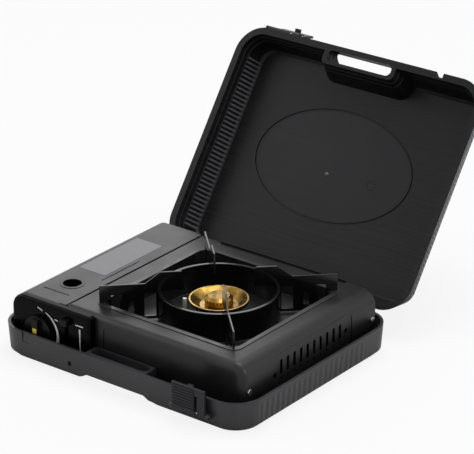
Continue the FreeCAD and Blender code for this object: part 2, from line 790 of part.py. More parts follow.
def latch(name, middle, pivot_z, up):
    """Latch plate that stands up (up = 1) or hangs down (up = -1) from its pin."""
    low, high = ("0", "latch_rise") if up == 1 else ("-latch_rise", "0")
    left = f"{middle} - latch_length / 2"
    right = f"{middle} + latch_length / 2"
    face = "latch_pivot_y - latch_boss_radius"
    tip = f"{pivot_z} + {up} * latch_rise"
    hook = [f"{tip} - latch_hook_height", tip] if up == 1 else [tip, f"{tip} + latch_hook_height"]
    parts = [
        cylinder(name + "_barrel", left, "latch_pivot_y", pivot_z, "latch_boss_radius",
                 "latch_length", "x"),
        box(name + "_plate", left, right, face, face + " + latch_thick",
            f"{pivot_z} + {low}", f"{pivot_z} + {high}"),
        box(name + "_hook", f"{middle} - latch_hook_width / 2", f"{middle} + latch_hook_width / 2",
            face, face + " + latch_thick + latch_hook", *hook),
    ]
    pitch = "latch_rise / (latch_rib_count + 1)"
    for index in range(int(value("latch_rib_count"))):
        level = f"{pivot_z} + {up} * {index + 1} * {pitch}"
        parts.append(box(f"{name}_rib_{index}", f"{left} + latch_rib_in",
                         f"{right} - latch_rib_stop", face + " - latch_rib", face,
                         f"{level} - latch_rib_width / 2", f"{level} + latch_rib_width / 2"))
    far = f"{pivot_z} + {up} * (latch_rise - latch_slot_end)"
    near = f"{pivot_z} - {up} * latch_slot_start"
    slot = [near, far] if up == 1 else [far, near]
    gap = f"{middle} + latch_length / 2 - latch_slot_in"
    return cut(name, fuse(name + "_solid", *parts),
               box(name + "_gap", f"{gap} - latch_slot_width / 2", f"{gap} + latch_slot_width / 2",
                   face + " - 2", "latch_pivot_y + latch_boss_radius + 1", *slot),
               latch_bore(name + "_hole", middle, pivot_z, "latch_pin_radius + running_gap", "1"))


keep("base_latch", latch("base_latch", "latch_x", "latch_pivot_z", 1))
keep("base_latch_pin", latch_bore("base_latch_pin", "latch_x", "latch_pivot_z",
                                  "latch_pin_radius", "0"))
folded_back = turned_about("latch_pivot_y", "lid_latch_pivot_z", value("latch_lean") - 180)
keep("lid_latch", open_with_lid(latch("lid_latch", "lid_latch_x", "lid_latch_pivot_z", -1),
                                folded_back))
lid_pin = latch_bore("lid_latch_pin", "lid_latch_x", "lid_latch_pivot_z", "latch_pin_radius", "0")
keep("lid_latch_pin", open_with_lid(group("lid_latch_pin_open", lid_pin)))


# Stove body. The top is one pressed sheet that wraps over the front, right and rear.

def pressed_block(name, left, right, front, rear, low, high, rounds, kind="Fillet"):
    """Block with rounded or bevelled edges; rounds lists (size, test) pairs in cutting order."""
    body = new_body(name)
    plan = sketch(body, name + "_plan", "XY_Plane", low)
    outline(plan, [(left, front), (right, front), (right, rear), (left, rear)])
    feature(body, "Pad", name + "_block", plan, f"({high}) - ({low})")
    for index, (radius, test) in enumerate(rounds):
        round_edges(body, f"{name}_round_{index}", radius, test, kind)
    return body


def upright_at(x, y):
    """Vertical edges at a corner of the plan."""
    def test(edge):
        b = edge_box(edge)
        return (abs(b.XMin - value(x)) + abs(b.XMax - value(x)) < 0.02
                and abs(b.YMin - value(y)) + abs(b.YMax - value(y)) < 0.02)
    return test


def level_along(axis, at, height):
    """Straight edges at one height along X at a given y, or along Y at a given x."""
    def test(edge):
        b = edge_box(edge)
        low, high = (b.YMin, b.YMax) if axis == "x" else (b.XMin, b.XMax)
        return (abs(b.ZMin - value(height)) < 0.02 and abs(b.ZMax - value(height)) < 0.02
                and abs(low - value(at)) < 0.02 and abs(high - value(at)) < 0.02)
    return test


def around_face(y, left, low):
    """Edges round an upright face, apart from its left and bottom ones."""
    def test(edge):
        b = edge_box(edge)
        in_face = abs(b.YMin - value(y)) < 0.02 and abs(b.YMax - value(y)) < 0.02
        return in_face and b.XMax > value(left) + 0.02 and b.ZMax > value(low) + 0.02
    return test


top_outer = pressed_block(
    "top_outer", "top_left_x", "body_right_x", "body_front_y", "body_rear_y",
    "skirt_bottom_z", "body_top_z", [
        ("side_round", level_along("y", "body_right_x", "body_top_z")),
        ("front_round", level_along("x", "body_front_y", "body_top_z")),
        ("rear_round", level_along("x", "body_rear_y", "body_top_z")),
    ])
top_inner = pressed_block(
    "top_inner", "top_left_x - 1", "body_right_x - body_sheet", "body_front_y + body_sheet",
    "body_rear_y - body_sheet", "skirt_bottom_z - 1", "body_top_z - body_sheet", [
        ("side_bevel", level_along("y", "body_right_x - body_sheet", "body_top_z - body_sheet")),
        ("front_bevel", around_face("body_front_y + body_sheet", "top_left_x - 1",
                                    "skirt_bottom_z - 1")),
        ("rear_bevel", around_face("body_rear_y - body_sheet", "top_left_x - 1",
                                   "skirt_bottom_z - 1")),
    ], "Chamfer")


def upright_slab(name, plane, middle, length, thick, at, grow):
    """Upright plate with rounded corners for a pressed panel, on the front or on the side."""
    body = new_body(name)
    plan = sketch(body, name + "_plan", plane, "0", middle, "(panel_low_z + panel_top_z) / 2")
    rounded_rectangle(plan, f"{length} + 2 * ({grow})", f"panel_top_z - panel_low_z + 2 * ({grow})",
                      f"panel_corner + ({grow})")
    feature(body, "Pad", name + "_block", plan, thick, both=True)
    return place(body, y=at) if plane == "XZ_Plane" else place(body, x=at)


front_panel = ("XZ_Plane", "(fascia_right_x + front_panel_left + body_right_x - front_panel_right) / 2",
               "body_right_x - front_panel_right - fascia_right_x - front_panel_left")
side_panel = ("YZ_Plane", "body_shift_y + vent_shift", "side_panel_length")
panel_backs = [
    upright_slab("front_panel_back", *front_panel, "body_sheet",
                 "body_front_y + panel_depth + body_sheet / 2", "panel_depth"),
    upright_slab("side_panel_back", *side_panel, "body_sheet",
                 "body_right_x - panel_depth - body_sheet / 2", "panel_depth"),
]
panel_recesses = [
    upright_slab("front_panel_recess", *front_panel, "2 * panel_depth", "body_front_y", "0"),
    upright_slab("side_panel_recess", *side_panel, "2 * panel_depth", "body_right_x", "0"),
]


def plan_block(name, length, width, corner, middle_x, middle_y, z_from, z_to):
    """Upright block with a rounded rectangle for its plan."""
    body = new_body(name)
    plan = sketch(body, name + "_plan", "XY_Plane", z_from, middle_x, middle_y)
    rounded_rectangle(plan, length, width, corner)
    feature(body, "Pad", name + "_block", plan, f"({z_to}) - ({z_from})")
    return body


burner_opening = plan_block("burner_opening", "hole_length", "hole_depth", "tray_corner",
                            "tray_middle_x", "tray_middle_y", "body_top_z - 5", "body_top_z + 1")
rear_guard = box("rear_guard", "tray_middle_x - rear_guard_length / 2",
                 "tray_middle_x + rear_guard_length / 2", "body_rear_y - rear_round - 2",
                 "body_rear_y - rear_round - 2 + body_sheet", "body_top_z - body_sheet / 2",
                 "body_top_z + rear_guard_height")


def side_vents():
    """Tall slots in the right side with a small round hole under each."""
    cutters = []
    pitch = "vent_span / (vent_count - 1)"
    for index in range(int(value("vent_count"))):
        y = f"vent_first_y + {index} * {pitch}"
        cutters.append(box(f"vent_slot_{index}", "body_right_x - 4", "body_right_x + 1",
                           f"{y} - vent_width / 2", f"{y} + vent_width / 2",
                           "vent_low_z", "vent_high_z"))
        cutters.append(six_sided(f"vent_end_{index}", "body_right_x - 4", y, "vent_high_z",
                                 "vent_width / sqrt(3)", "5", "x"))
        cutters.append(six_sided(f"vent_dot_{index}", "body_right_x - 4", y,
                                 "vent_low_z - vent_dot_drop", "vent_dot_radius", "5", "x"))
    for tag, y, z in (("front", "vent_first_y - vent_end_out", "vent_low_z + 2"),
                      ("rear", "vent_first_y + vent_span + vent_end_out", "vent_low_z + 6")):
        cutters.append(cylinder(f"vent_hole_{tag}", "body_right_x - 4", y, z,
                                "vent_hole_radius", "5", "x"))
    return cutters


lever_hole = box("lever_hole", "lever_x - lever_slot_width / 2 - 1",
                 "lever_x + lever_slot_width / 2 + 1", "fascia_front_y - 2",
                 "body_front_y + 3 * body_sheet", "lever_top_z - lever_travel - lever_tab_height",
                 "lever_top_z + 1")
top_solid = fuse("top_solid", cut("top_sheet", top_outer, top_inner), rear_guard, *panel_backs)
keep("top_shell", cut("top_shell", top_solid, burner_opening, lever_hole, *panel_recesses,
                      *side_vents()))

# Bottom pan with low upright edges, a dropped floor under the cartridge bay and the
# bay's own front and rear walls.



def pan_block(name, left, inset, low, high):
    """Block whose right uprights are bevelled to lie against the top sheet."""
    right, front, rear = (f"body_right_x - {inset}", f"body_front_y + {inset}",
                          f"body_rear_y - {inset}")
    body = pressed_block(name, left, right, front, rear, low, high,
                         [("front_bevel", upright_at(right, front))], "Chamfer")
    round_edges(body, name + "_round_rear", "rear_bevel", upright_at(right, rear), "Chamfer")
    return body


pan_outer = pan_block("pan_outer", "body_left_x", "body_sheet", "pan_z", "pan_z + pan_edge")
pan_inner = pan_block("pan_inner", "body_left_x + body_sheet", "2 * body_sheet",
                      "pan_z + body_sheet", "pan_z + pan_edge + 1")
bay_outer = box("bay_outer", "bay_left_x", "bay_right_x", "bay_front_y", "bay_rear_y",
                "bay_floor_z", "pan_z + body_sheet")
bay_inner = box("bay_inner", "bay_left_x + body_sheet", "bay_right_x - body_sheet",
                "bay_front_y + body_sheet", "bay_rear_y - body_sheet", "bay_floor_top_z",
                "pan_z + body_sheet + 1")
pan_left = box("pan_left", "body_left_x", "body_left_x + body_sheet", "body_front_y + body_sheet",
               "body_rear_y - body_sheet", "pan_z", "cover_side_bottom_z - 2")


def bay_wall(name, front, rear):
    """End wall of the bay: full width below, and clear of the cover's rounded side above."""
    side = "body_left_x + body_sheet + side_gap"
    return [
        box(name + "_low", "body_left_x", "top_left_x", front, rear, "pan_z",
            "cover_side_bottom_z - 2"),
        pressed_block(name + "_high", side, "top_left_x", front, rear, "cover_side_bottom_z - 3",
                      "bay_wall_top_z",
                      [("side_bevel - side_gap", level_along("y", side, "bay_wall_top_z"))],
                      "Chamfer"),
    ]


bay_walls = (bay_wall("bay_front_wall", "body_front_y", "body_front_y + body_sheet")
             + bay_wall("bay_rear_wall", "body_rear_y - body_sheet", "body_rear_y"))
stem_hole = cylinder("stem_hole", "knob_x", "body_front_y - 1", "knob_z", "stem_radius + 1",
                     "4", "y")
keep("base_pan", cut("base_pan", fuse("pan_solid", cut("pan_tray", pan_outer, pan_inner),
                                      bay_outer, pan_left, *bay_walls),
                     bay_inner, stem_hole, lever_hole))

foot_left_x = "body_left_x + foot_inset / 2"
foot_right_x = "body_right_x - foot_inset"
foot_front_y = "body_front_y + foot_inset / 2"
foot_rear_y = "body_rear_y - foot_inset"
keep("rubber_feet", group(
    "rubber_feet",
    cylinder("foot_left_front", foot_left_x, foot_front_y, "case_floor", "foot_radius",
             "foot_height"),
    cylinder("foot_right_front", foot_right_x, foot_front_y, "case_floor", "foot_radius",
             "foot_height"),
    cylinder("foot_right_rear", foot_right_x, foot_rear_y, "case_floor", "foot_radius",
             "foot_height"),
    cylinder("foot_left_rear", foot_left_x, foot_rear_y, "case_floor", "foot_radius",
             "foot_height - bay_drop")))

# Cartridge cover: a bent sheet over the bay, with two ears on pins along its inner edge.

cover_outer = pressed_block(
    "cover_outer", "body_left_x", "cover_inner_x", "body_front_y", "body_rear_y",
    "cover_side_bottom_z", "body_top_z",
    [("side_round", level_along("y", "body_left_x", "body_top_z"))])
cover_inner = pressed_block(
    "cover_inner", "body_left_x + body_sheet", "cover_inner_x + 1", "body_front_y - 1",
    "body_rear_y + 1", "cover_side_bottom_z - 1", "body_top_z - body_sheet",
    [("side_round - body_sheet",
      level_along("y", "body_left_x + body_sheet", "body_top_z - body_sheet"))])
COVER_EARS = {
    "front": "body_front_y + 2 * body_sheet",
    "rear": "body_rear_y - 2 * body_sheet - cover_ear",
}
ears = []
cover_bores = []
for tag, y in COVER_EARS.items():
    ears.append(cylinder(f"cover_ear_{tag}", "cover_pivot_x", y, "cover_pivot_z",
                         "2 * cover_pin_radius", "cover_ear", "y"))
    ears.append(box(f"cover_ear_{tag}_web", "cover_pivot_x - cover_pin_radius",
                    "cover_pivot_x + cover_pin_radius", y, f"{y} + cover_ear", "cover_pivot_z",
                    "body_top_z - body_sheet / 2"))
    cover_bores.append(cylinder(f"cover_bore_{tag}", "cover_pivot_x", f"{y} - 1", "cover_pivot_z",
                                "cover_pin_radius + running_gap", "cover_ear + 2", "y"))
cover_hole = cylinder("cover_hole", "cover_hole_x", "cover_hole_y", "body_top_z - 5",
                      "cover_hole_radius", "10")
cover_collar = cylinder("cover_collar_ring", "cover_hole_x", "cover_hole_y",
                        "body_top_z - body_sheet / 2", "cover_hole_radius + cover_collar",
                        "body_sheet / 2 + cover_press")
cover_ridge = box("cover_ridge", "cover_ridge_x - cover_ridge_width / 2",
                  "cover_ridge_x + cover_ridge_width / 2", "cover_ridge_y",
                  "cover_ridge_y + cover_ridge_length", "body_top_z - body_sheet / 2",
                  "body_top_z + cover_press")
cover_groove = box("cover_groove", "cover_hole_x - cover_groove_length / 2",
                   "cover_hole_x + cover_groove_length / 2",
                   "cover_groove_y - cover_groove_width / 2",
                   "cover_groove_y + cover_groove_width / 2", "body_top_z - cover_press",
                   "body_top_z + 1")
cover_reliefs = [
    box(f"cover_relief_{tag}", "cover_pivot_x - cover_relief", "cover_inner_x + 1", y_from, y_to,
        "body_top_z - 5", "body_top_z + 1")
    for tag, y_from, y_to in (
        ("front", "body_front_y - 1", "body_front_y + body_sheet + side_gap"),
        ("rear", "body_rear_y - body_sheet - side_gap", "body_rear_y + 1"))
]
cover_solid = fuse("cover_solid", cut("cover_sheet", cover_outer, cover_inner), cover_collar,
                   cover_ridge, *ears)
keep("cartridge_cover", cut("cartridge_cover", cover_solid, cover_hole, cover_groove,
                            *cover_bores, *cover_reliefs))
keep("cover_pins", group(
    "cover_pins",
    cylinder("cover_pin_front", "cover_pivot_x", "body_front_y + body_sheet", "cover_pivot_z",
             "cover_pin_radius", "cover_ear + 3 * body_sheet", "y"),
    cylinder("cover_pin_rear", "cover_pivot_x", "body_rear_y - cover_ear - 4 * body_sheet",
             "cover_pivot_z", "cover_pin_radius", "cover_ear + 3 * body_sheet", "y")))

# Knob fascia: a hollow moulding that stands proud of the front at the left.

fascia_outer = pressed_block(
    "fascia_outer", "body_left_x", "fascia_right_x", "fascia_front_y", "body_front_y",
    "fascia_bottom_z", "body_top_z",
    [("side_round", level_along("y", "body_left_x", "body_top_z")),
     ("fascia_round", upright_at("fascia_right_x", "fascia_front_y")),
     ("fascia_round - 1", level_along("x", "fascia_front_y", "body_top_z"))])
fascia_inner = pressed_block(
    "fascia_inner", "body_left_x + fascia_wall", "fascia_right_x - fascia_wall",
    "fascia_front_y + fascia_wall", "body_front_y + 1", "fascia_bottom_z + fascia_wall",
    "body_top_z - fascia_wall",
    [("side_bevel", level_along("y", "body_left_x + fascia_wall", "body_top_z - fascia_wall"))],
    "Chamfer")
fascia_stem_hole = cylinder("fascia_stem_hole", "knob_x", "fascia_front_y - 1", "knob_z",
                            "stem_radius + 1", "5", "y")
keep("knob_fascia", cut("knob_fascia", fascia_outer, fascia_inner, fascia_stem_hole, lever_hole))

# Knob on the valve's stem.

knob_back_y = "fascia_front_y - side_gap"
disc = cylinder("knob_disc", "knob_x", f"{knob_back_y} - knob_disc", "knob_z", "knob_radius",
                "knob_disc", "y")
grip = box("knob_grip", "knob_x - knob_grip / 2", "knob_x + knob_grip / 2",
           f"{knob_back_y} - knob_height", f"{knob_back_y} - knob_disc / 2",
           "knob_z - knob_radius + knob_grip_in", "knob_z + knob_radius - knob_grip_in")


def mark_box(name, proud):
    """Block for the paint mark at the top of the grip, which may stand proud of its face."""
    return box(name, "knob_x - knob_grip / 2 + knob_mark_in",
               "knob_x + knob_grip / 2 - knob_mark_in", f"{knob_back_y} - knob_height - {proud}",
               f"{knob_back_y} - knob_height + knob_mark_depth",
               "knob_z + knob_mark_low", "knob_z + knob_mark_high")


mark_cut = mark_box("knob_mark_cut", "1")
mark = mark_box("knob_mark_inlay", "0")
stem_seat = cylinder("stem_seat", "knob_x", f"{knob_back_y} - knob_disc + 1", "knob_z",
                     "stem_radius", "10", "y")
keep("knob", cut("knob", fuse("knob_solid", disc, grip), mark_cut, stem_seat))
keep("knob_mark", group("knob_mark", mark))
keep("knob_stem", group("knob_stem", cylinder(
    "stem_rod", "knob_x", f"{knob_back_y} - knob_disc + 1", "knob_z", "stem_radius",
    f"valve_front_y + stem_engage - ({knob_back_y} - knob_disc + 1)", "y")))

# Lock lever: a tab in the fascia's slot on a rod that moves down inside.

lever_low = "lever_top_z - lever_tab_height"
lever_tab = box("lever_tab", "lever_x - lever_tab_width / 2", "lever_x + lever_tab_width / 2",
                "fascia_front_y - side_gap - lever_tab_out", "fascia_front_y - side_gap",
                lever_low, "lever_top_z")
lever_neck = box("lever_neck", "lever_x - lever_slot_width / 2", "lever_x + lever_slot_width / 2",
                 "fascia_front_y - side_gap", "body_front_y + 4 * body_sheet",
                 f"{lever_low} + 1", "lever_top_z - 1")
lever_rod = box("lever_rod", "lever_x - lever_rod_width / 2", "lever_x + lever_rod_width / 2",
                "body_front_y + 4 * body_sheet", "body_front_y + 4 * body_sheet + lever_rod_depth",
                "pan_z + body_sheet + lever_travel + side_gap", "lever_top_z + lever_rod_over")
keep("lock_lever", fuse("lock_lever", lever_tab, lever_neck, lever_rod))

# Heat shield between the cartridge bay and the burner, with a hole for the gas pipe.

gas_pipe_hole = cylinder("gas_pipe_hole", "divider_x - 2", "gas_pipe_y", "gas_pipe_z",
                         "gas_pipe_radius + 1", "6", "x")
keep("heat_shield", cut("heat_shield", box(
    "shield_sheet", "divider_x", "divider_x + divider_sheet", "shield_front_y",
    "body_rear_y - 3 * body_sheet", "pan_z + body_sheet", "body_top_z - body_sheet"),
    gas_pipe_hole))

# Cartridge carriage: a sliding plate with two saddles under the cartridge.

carriage_plate = box("carriage_plate", "bay_left_x + carriage_side",
                     "bay_right_x - carriage_side", "carriage_front_y",
                     "bay_rear_y - carriage_side - 2 * body_sheet", "carriage_z",
                     "carriage_z + carriage_sheet")
saddles = []
for index, share in enumerate(("0.2", "0.8")):
    y = f"carriage_front_y + {share} * cartridge_length"
    saddles.append(box(f"saddle_{index}", "bay_left_x + carriage_side",
                       "bay_right_x - carriage_side", y, f"{y} + saddle_sheet",
                       "carriage_z", "carriage_z + saddle_height"))
cartridge_space = cylinder("cartridge_space", "cartridge_axis_x", "carriage_front_y - 1",
                           "cartridge_axis_z", "cartridge_radius + saddle_gap",
                           "cartridge_length + 20", "y")
keep("cartridge_carriage", cut("cartridge_carriage", fuse("carriage_solid", carriage_plate,
                                                          *saddles), cartridge_space))

# Regulator at the front of the bay, with the valve that the knob turns.

regulator_drum = cylinder("regulator_drum", "cartridge_axis_x", "regulator_y",
                          "cartridge_axis_z", "regulator_radius", "regulator_depth", "y")
valve_left_x = "valve_right_x - valve_length"
valve_block = box("valve_block", valve_left_x, "valve_right_x", "valve_front_y", "regulator_y",
                  "knob_z - valve_length / 2 + valve_low_in",
                  "knob_z + valve_length / 2 - valve_top_in")
valve_bore = cylinder("valve_bore", "knob_x", "valve_front_y - 1", "knob_z",
                      "stem_radius + running_gap", "10", "y")
regulator_socket = cylinder("regulator_socket", "cartridge_axis_x",
                            "regulator_y + regulator_depth - regulator_socket",
                            "cartridge_axis_z", "regulator_socket", "regulator_socket + 1", "y")
keep("regulator", cut("regulator", fuse("regulator_solid", regulator_drum, valve_block),
                      valve_bore, regulator_socket))
keep("regulator_bracket", cut("regulator_bracket", box(
    "bracket_plate", "bay_left_x", "bay_right_x", "bay_front_y - holder_out",
    "bay_front_y - holder_out + holder_sheet", "pan_z + body_sheet",
    "cartridge_axis_z + holder_rise"),
    cylinder("bracket_hole", "cartridge_axis_x", "bay_front_y - holder_out - 2", "cartridge_axis_z",
             "regulator_radius", "6", "y")))

# Gas pipe, jet and mixing tube to the burner.

keep("gas_pipe", group("gas_pipe", cylinder(
    "gas_pipe_rod", "valve_right_x", "gas_pipe_y", "gas_pipe_z", "gas_pipe_radius",
    "tray_middle_x - jet_size / 2 - valve_right_x", "x")))
keep("jet_block", group("jet_block", box(
    "jet_body", "tray_middle_x - jet_size / 2", "tray_middle_x + jet_size / 2",
    "gas_pipe_y - jet_size / 2", "gas_pipe_y + jet_size / 2",
    "gas_pipe_z - jet_size / 2", "gas_pipe_z + jet_size / 2")))
mixing_outer = cylinder("mixing_outer", "tray_middle_x", "mixing_tube_y", "gas_pipe_z",
                        "mixing_tube_radius", "tray_middle_y - mixing_tube_y", "y")
mixing_bore = cylinder("mixing_bore", "tray_middle_x", "mixing_tube_y - 1", "gas_pipe_z",
                       "mixing_tube_radius - mixing_tube_wall",
                       "tray_middle_y - mixing_tube_y + 2", "y")
burner_wall = cylinder("burner_wall", "tray_middle_x", "tray_middle_y", "burner_base_z",
                       "burner_body_radius", "burner_neck_z - burner_base_z")
keep("mixing_tube", cut("mixing_tube", mixing_outer, mixing_bore, burner_wall))
burner_cavity = cylinder("burner_cavity", "tray_middle_x", "tray_middle_y",
                         "burner_base_z + burner_wall_thick",
                         "burner_body_radius - burner_wall_thick", "burner_neck_z")
keep("burner_body", cut("burner_body", burner_wall, burner_cavity, cylinder(
    "burner_inlet", "tray_middle_x", "tray_middle_y - burner_body_radius - 1", "gas_pipe_z",
    "mixing_tube_radius - mixing_tube_wall", "burner_body_radius", "y")))


def bracket_box(name, inset, z_from, z_to):
    return box(name, f"tray_middle_x - bracket_half_length + {inset}",
               f"tray_middle_x + bracket_half_length - {inset}",
               f"tray_middle_y - bracket_width / 2 - {inset} / 2",
               f"tray_middle_y + bracket_width / 2 + {inset} / 2", z_from, z_to)


keep("burner_bracket", cut(
    "burner_bracket", bracket_box("bracket_block", "0", "pan_z + body_sheet", "burner_base_z"),
    bracket_box("bracket_space", "bracket_sheet", "pan_z + body_sheet - 1",
                "burner_base_z - bracket_sheet")))

# Burner head: a turned brass dish with a ported cap in its middle.

head = new_body("burner_head")
profile = sketch(head, "burner_head_profile", "XZ_Plane")
outline(profile, [
    ("0", "burner_neck_z"),
    ("burner_body_radius", "burner_neck_z"),
    ("burner_dish_radius", "burner_dish_z - burner_rim_height"),
    ("burner_dish_radius", "burner_dish_z"),
    ("burner_dish_radius - burner_rim_wall", "burner_dish_z"),
    ("burner_cap_radius + burner_bowl_flat", "burner_neck_z + burner_bowl_rise"),
    ("burner_cap_radius", "burner_neck_z + burner_bowl_rise"),
    ("burner_cap_radius", "burner_cap_shoulder_z"),
    ("burner_cap_radius - burner_cap_bevel", "burner_cap_shoulder_z + burner_cap_crown"),
    ("0", "burner_cap_shoulder_z + burner_cap_crown"),
])
turned = head.newObject("PartDesign::Revolution", "burner_head_turned")
turned.Profile = profile
turned.ReferenceAxis = (profile, ["V_Axis"])
turned.Angle = 360
doc.recompute()
port_sketch = sketch(head, "port_sketch", "XZ_Plane", "burner_cap_radius + 1")
port_low = "burner_cap_shoulder_z - burner_port_height"
outline(port_sketch, [
    ("-burner_port_width / 2", port_low), ("burner_port_width / 2", port_low),
    ("burner_port_width / 2", "burner_cap_shoulder_z"),
    ("-burner_port_width / 2", "burner_cap_shoulder_z"),
])
port = feature(head, "Pocket", "burner_port", port_sketch, "burner_port_depth + 1")
ports = head.newObject("PartDesign::PolarPattern", "burner_ports")
ports.Originals = [port]
ports.Axis = (profile, ["V_Axis"])
ports.Angle = 360
bind(ports, Occurrences="burner_port_count")
head.Tip = ports
place(head, "tray_middle_x", "tray_middle_y", "0")
keep("burner_head", head)

# Spark electrode beside the burner, and the piezo unit behind the fascia.

electrode_x = "tray_middle_x - electrode_out"
electrode_y = "tray_middle_y - electrode_out"
keep("spark_electrode", group("spark_electrode", cylinder(
    "electrode_rod", electrode_x, electrode_y, "electrode_low_z", "electrode_radius",
    "burner_dish_z + electrode_over - electrode_low_z")))
electrode_arm = box("electrode_arm", f"{electrode_x} - electrode_arm_width / 2",
                    f"{electrode_x} + electrode_arm_length", f"{electrode_y} - electrode_arm_width / 2",
                    f"{electrode_y} + electrode_arm_width / 2",
                    "electrode_low_z + electrode_arm_sheet",
                    "electrode_low_z + 2 * electrode_arm_sheet")
keep("electrode_bracket", cut("electrode_bracket", electrode_arm, burner_wall, cylinder(
    "electrode_hole", electrode_x, electrode_y, "electrode_low_z", "electrode_radius", "10")))
keep("igniter", group("igniter", box(
    "igniter_case", valve_left_x, "valve_right_x", "valve_front_y + 2", "regulator_y",
    "knob_z + valve_length / 2 - valve_top_in", "knob_z + valve_length - valve_low_in")))

# Drip tray: a square well with a flange that rests on the top plate.

tray_flange = plan_block("tray_flange", "tray_length", "tray_depth", "tray_corner",
                         "tray_middle_x", "tray_middle_y", "body_top_z",
                         "body_top_z + tray_sheet")
tray_well = plan_block("tray_well", "well_length", "well_depth", "tray_corner", "tray_middle_x",
                       "tray_middle_y", "tray_floor_z", "body_top_z + tray_sheet / 2")
tray_space = plan_block("tray_space", "well_inner_length", "well_inner_depth",
                        "well_inner_corner", "tray_middle_x", "tray_middle_y",
                        "tray_floor_z + tray_sheet", "body_top_z + tray_sheet + 1")
tray_hole = cylinder("tray_hole", "tray_middle_x", "tray_middle_y", "tray_floor_z - 1",
                     "tray_hole_radius", "5")
electrode_clearance = cylinder("electrode_clearance", electrode_x, electrode_y,
                               "tray_floor_z - 1", "electrode_radius + 1", "5")
keep("drip_tray", cut("drip_tray", fuse("tray_solid", tray_flange, tray_well), tray_space,
                      tray_hole, electrode_clearance))

# Trivet: an enamelled ring with four fins that carry the pan.

ring_wall = cylinder("ring_wall", "tray_middle_x", "tray_middle_y", "fin_foot_z + side_gap",
                     "ring_radius", "ring_top_z - fin_foot_z - side_gap")
ring_bore = cylinder("ring_bore", "tray_middle_x", "tray_middle_y", "fin_foot_z - 1",
                     "ring_radius - ring_sheet", "ring_top_z - fin_foot_z + 1 - ring_sheet")
ring_mouth = cylinder("ring_mouth", "tray_middle_x", "tray_middle_y", "ring_top_z - 5",
                      "ring_radius - ring_lip", "10")
keep("trivet_ring", cut("trivet_ring", ring_wall, ring_bore, ring_mouth))

FIN_CORNERS = {"front_left": 225, "front_right": 315, "rear_right": 45, "rear_left": 135}
leg_in = "fin_reach - fin_leg"
WINDOWS = {
    "inner": (("ring_radius + 2", "window_low_z"), ("ring_radius + 16", "window_low_z"),
              ("ring_radius + 16", "window_top_z"), ("ring_radius + 2", "window_top_z")),
    "middle": (("ring_radius + 28", "fin_foot_z + 12"), ("ring_radius + 36", "fin_foot_z + 8"),
               ("ring_radius + 34", "ring_top_z - 14"), ("ring_radius + 29", "ring_top_z - 10")),
    "outer": ((f"{leg_in} - 10", "window_low_z"), (f"{leg_in} - 2", "window_low_z"),
              (f"{leg_in} - 2", "window_top_z"), (f"{leg_in} - 15", "window_top_z"),
              (f"{leg_in} - 13", "ring_top_z - 10")),
}
for corner, angle in FIN_CORNERS.items():
    fin = new_body(f"fin_{corner}")
    blade = sketch(fin, f"fin_{corner}_profile", "XZ_Plane")
    outline(blade, [
        ("fin_nub_in - 4", "ring_top_z"), ("ring_radius - 1", "ring_top_z"),
        ("ring_radius - 1", "fin_foot_z + 2"), (leg_in, "fin_foot_z + 2"),
        (leg_in, "fin_seat_z"), ("fin_reach", "fin_seat_z"),
        ("fin_reach", "fin_top_z"), ("fin_step_out", "fin_top_z"),
        ("fin_nub_out", "fin_nub_z"), ("fin_nub_in", "fin_nub_z"),
    ])
    feature(fin, "Pad", f"fin_{corner}_blade", blade, "fin_sheet", both=True)
    for tag, points in WINDOWS.items():
        window = outline(sketch(fin, f"fin_{corner}_{tag}", "XZ_Plane"), points)
        feature(fin, "Pocket", f"fin_{corner}_{tag}_window", window, "3 * fin_sheet", both=True)
    fin.Placement = Placement(Vector(value("tray_middle_x"), value("tray_middle_y"), 0),
                              Rotation(Vector(0, 0, 1), angle))
    bind(fin, Placement__Base__x="tray_middle_x", Placement__Base__y="tray_middle_y")
    node = "trivet_fin_" + corner
    keep(node, cut(node, fin, nodes["trivet_ring"]))

# Screws that hold the shell to the pan.

keep("side_screws", group("side_screws", *[
    cylinder(f"side_screw_{tag}", "body_right_x", y, "screw_z", "screw_radius", "screw_head", "x")
    for tag, y in (("front", "body_front_y + screw_in"), ("rear", "body_rear_y - screw_in"))]))

doc.recompute()
faults = [obj.Name for obj in doc.Objects if {"Invalid", "Error"} & set(obj.State)]
if faults:
    raise RuntimeError("objects that failed: " + ", ".join(faults))
for node, piece in nodes.items():
    if piece.Shape.isNull() or not piece.Shape.isValid():
        raise RuntimeError("no valid shape: " + node)
for node, piece in nodes.items():
    piece.Shape.exportStep(f"parts/{node}.step")
print(len(nodes), "pieces written")
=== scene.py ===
import json
import math

import bmesh
import bpy
from mathutils import Matrix, Vector


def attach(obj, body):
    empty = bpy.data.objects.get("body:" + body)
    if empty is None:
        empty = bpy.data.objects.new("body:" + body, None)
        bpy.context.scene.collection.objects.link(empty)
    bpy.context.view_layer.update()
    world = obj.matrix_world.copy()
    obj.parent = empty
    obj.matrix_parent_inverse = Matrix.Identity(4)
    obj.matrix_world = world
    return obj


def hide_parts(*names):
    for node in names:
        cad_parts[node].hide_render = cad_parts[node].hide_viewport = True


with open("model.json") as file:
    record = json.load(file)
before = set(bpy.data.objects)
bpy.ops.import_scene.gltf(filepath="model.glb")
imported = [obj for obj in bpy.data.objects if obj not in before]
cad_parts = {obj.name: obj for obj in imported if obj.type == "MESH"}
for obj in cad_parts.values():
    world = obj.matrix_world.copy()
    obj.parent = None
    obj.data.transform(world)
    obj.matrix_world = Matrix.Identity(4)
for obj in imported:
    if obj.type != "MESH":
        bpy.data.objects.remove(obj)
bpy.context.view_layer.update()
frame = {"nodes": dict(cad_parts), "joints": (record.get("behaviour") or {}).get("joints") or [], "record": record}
NODES = frame["nodes"]
BODY_OF = {node: body for body, members in frame["record"]["behaviour"]["bodies"].items()
           for node in members}
JOINTS = {joint["name"]: joint for joint in frame["joints"]}

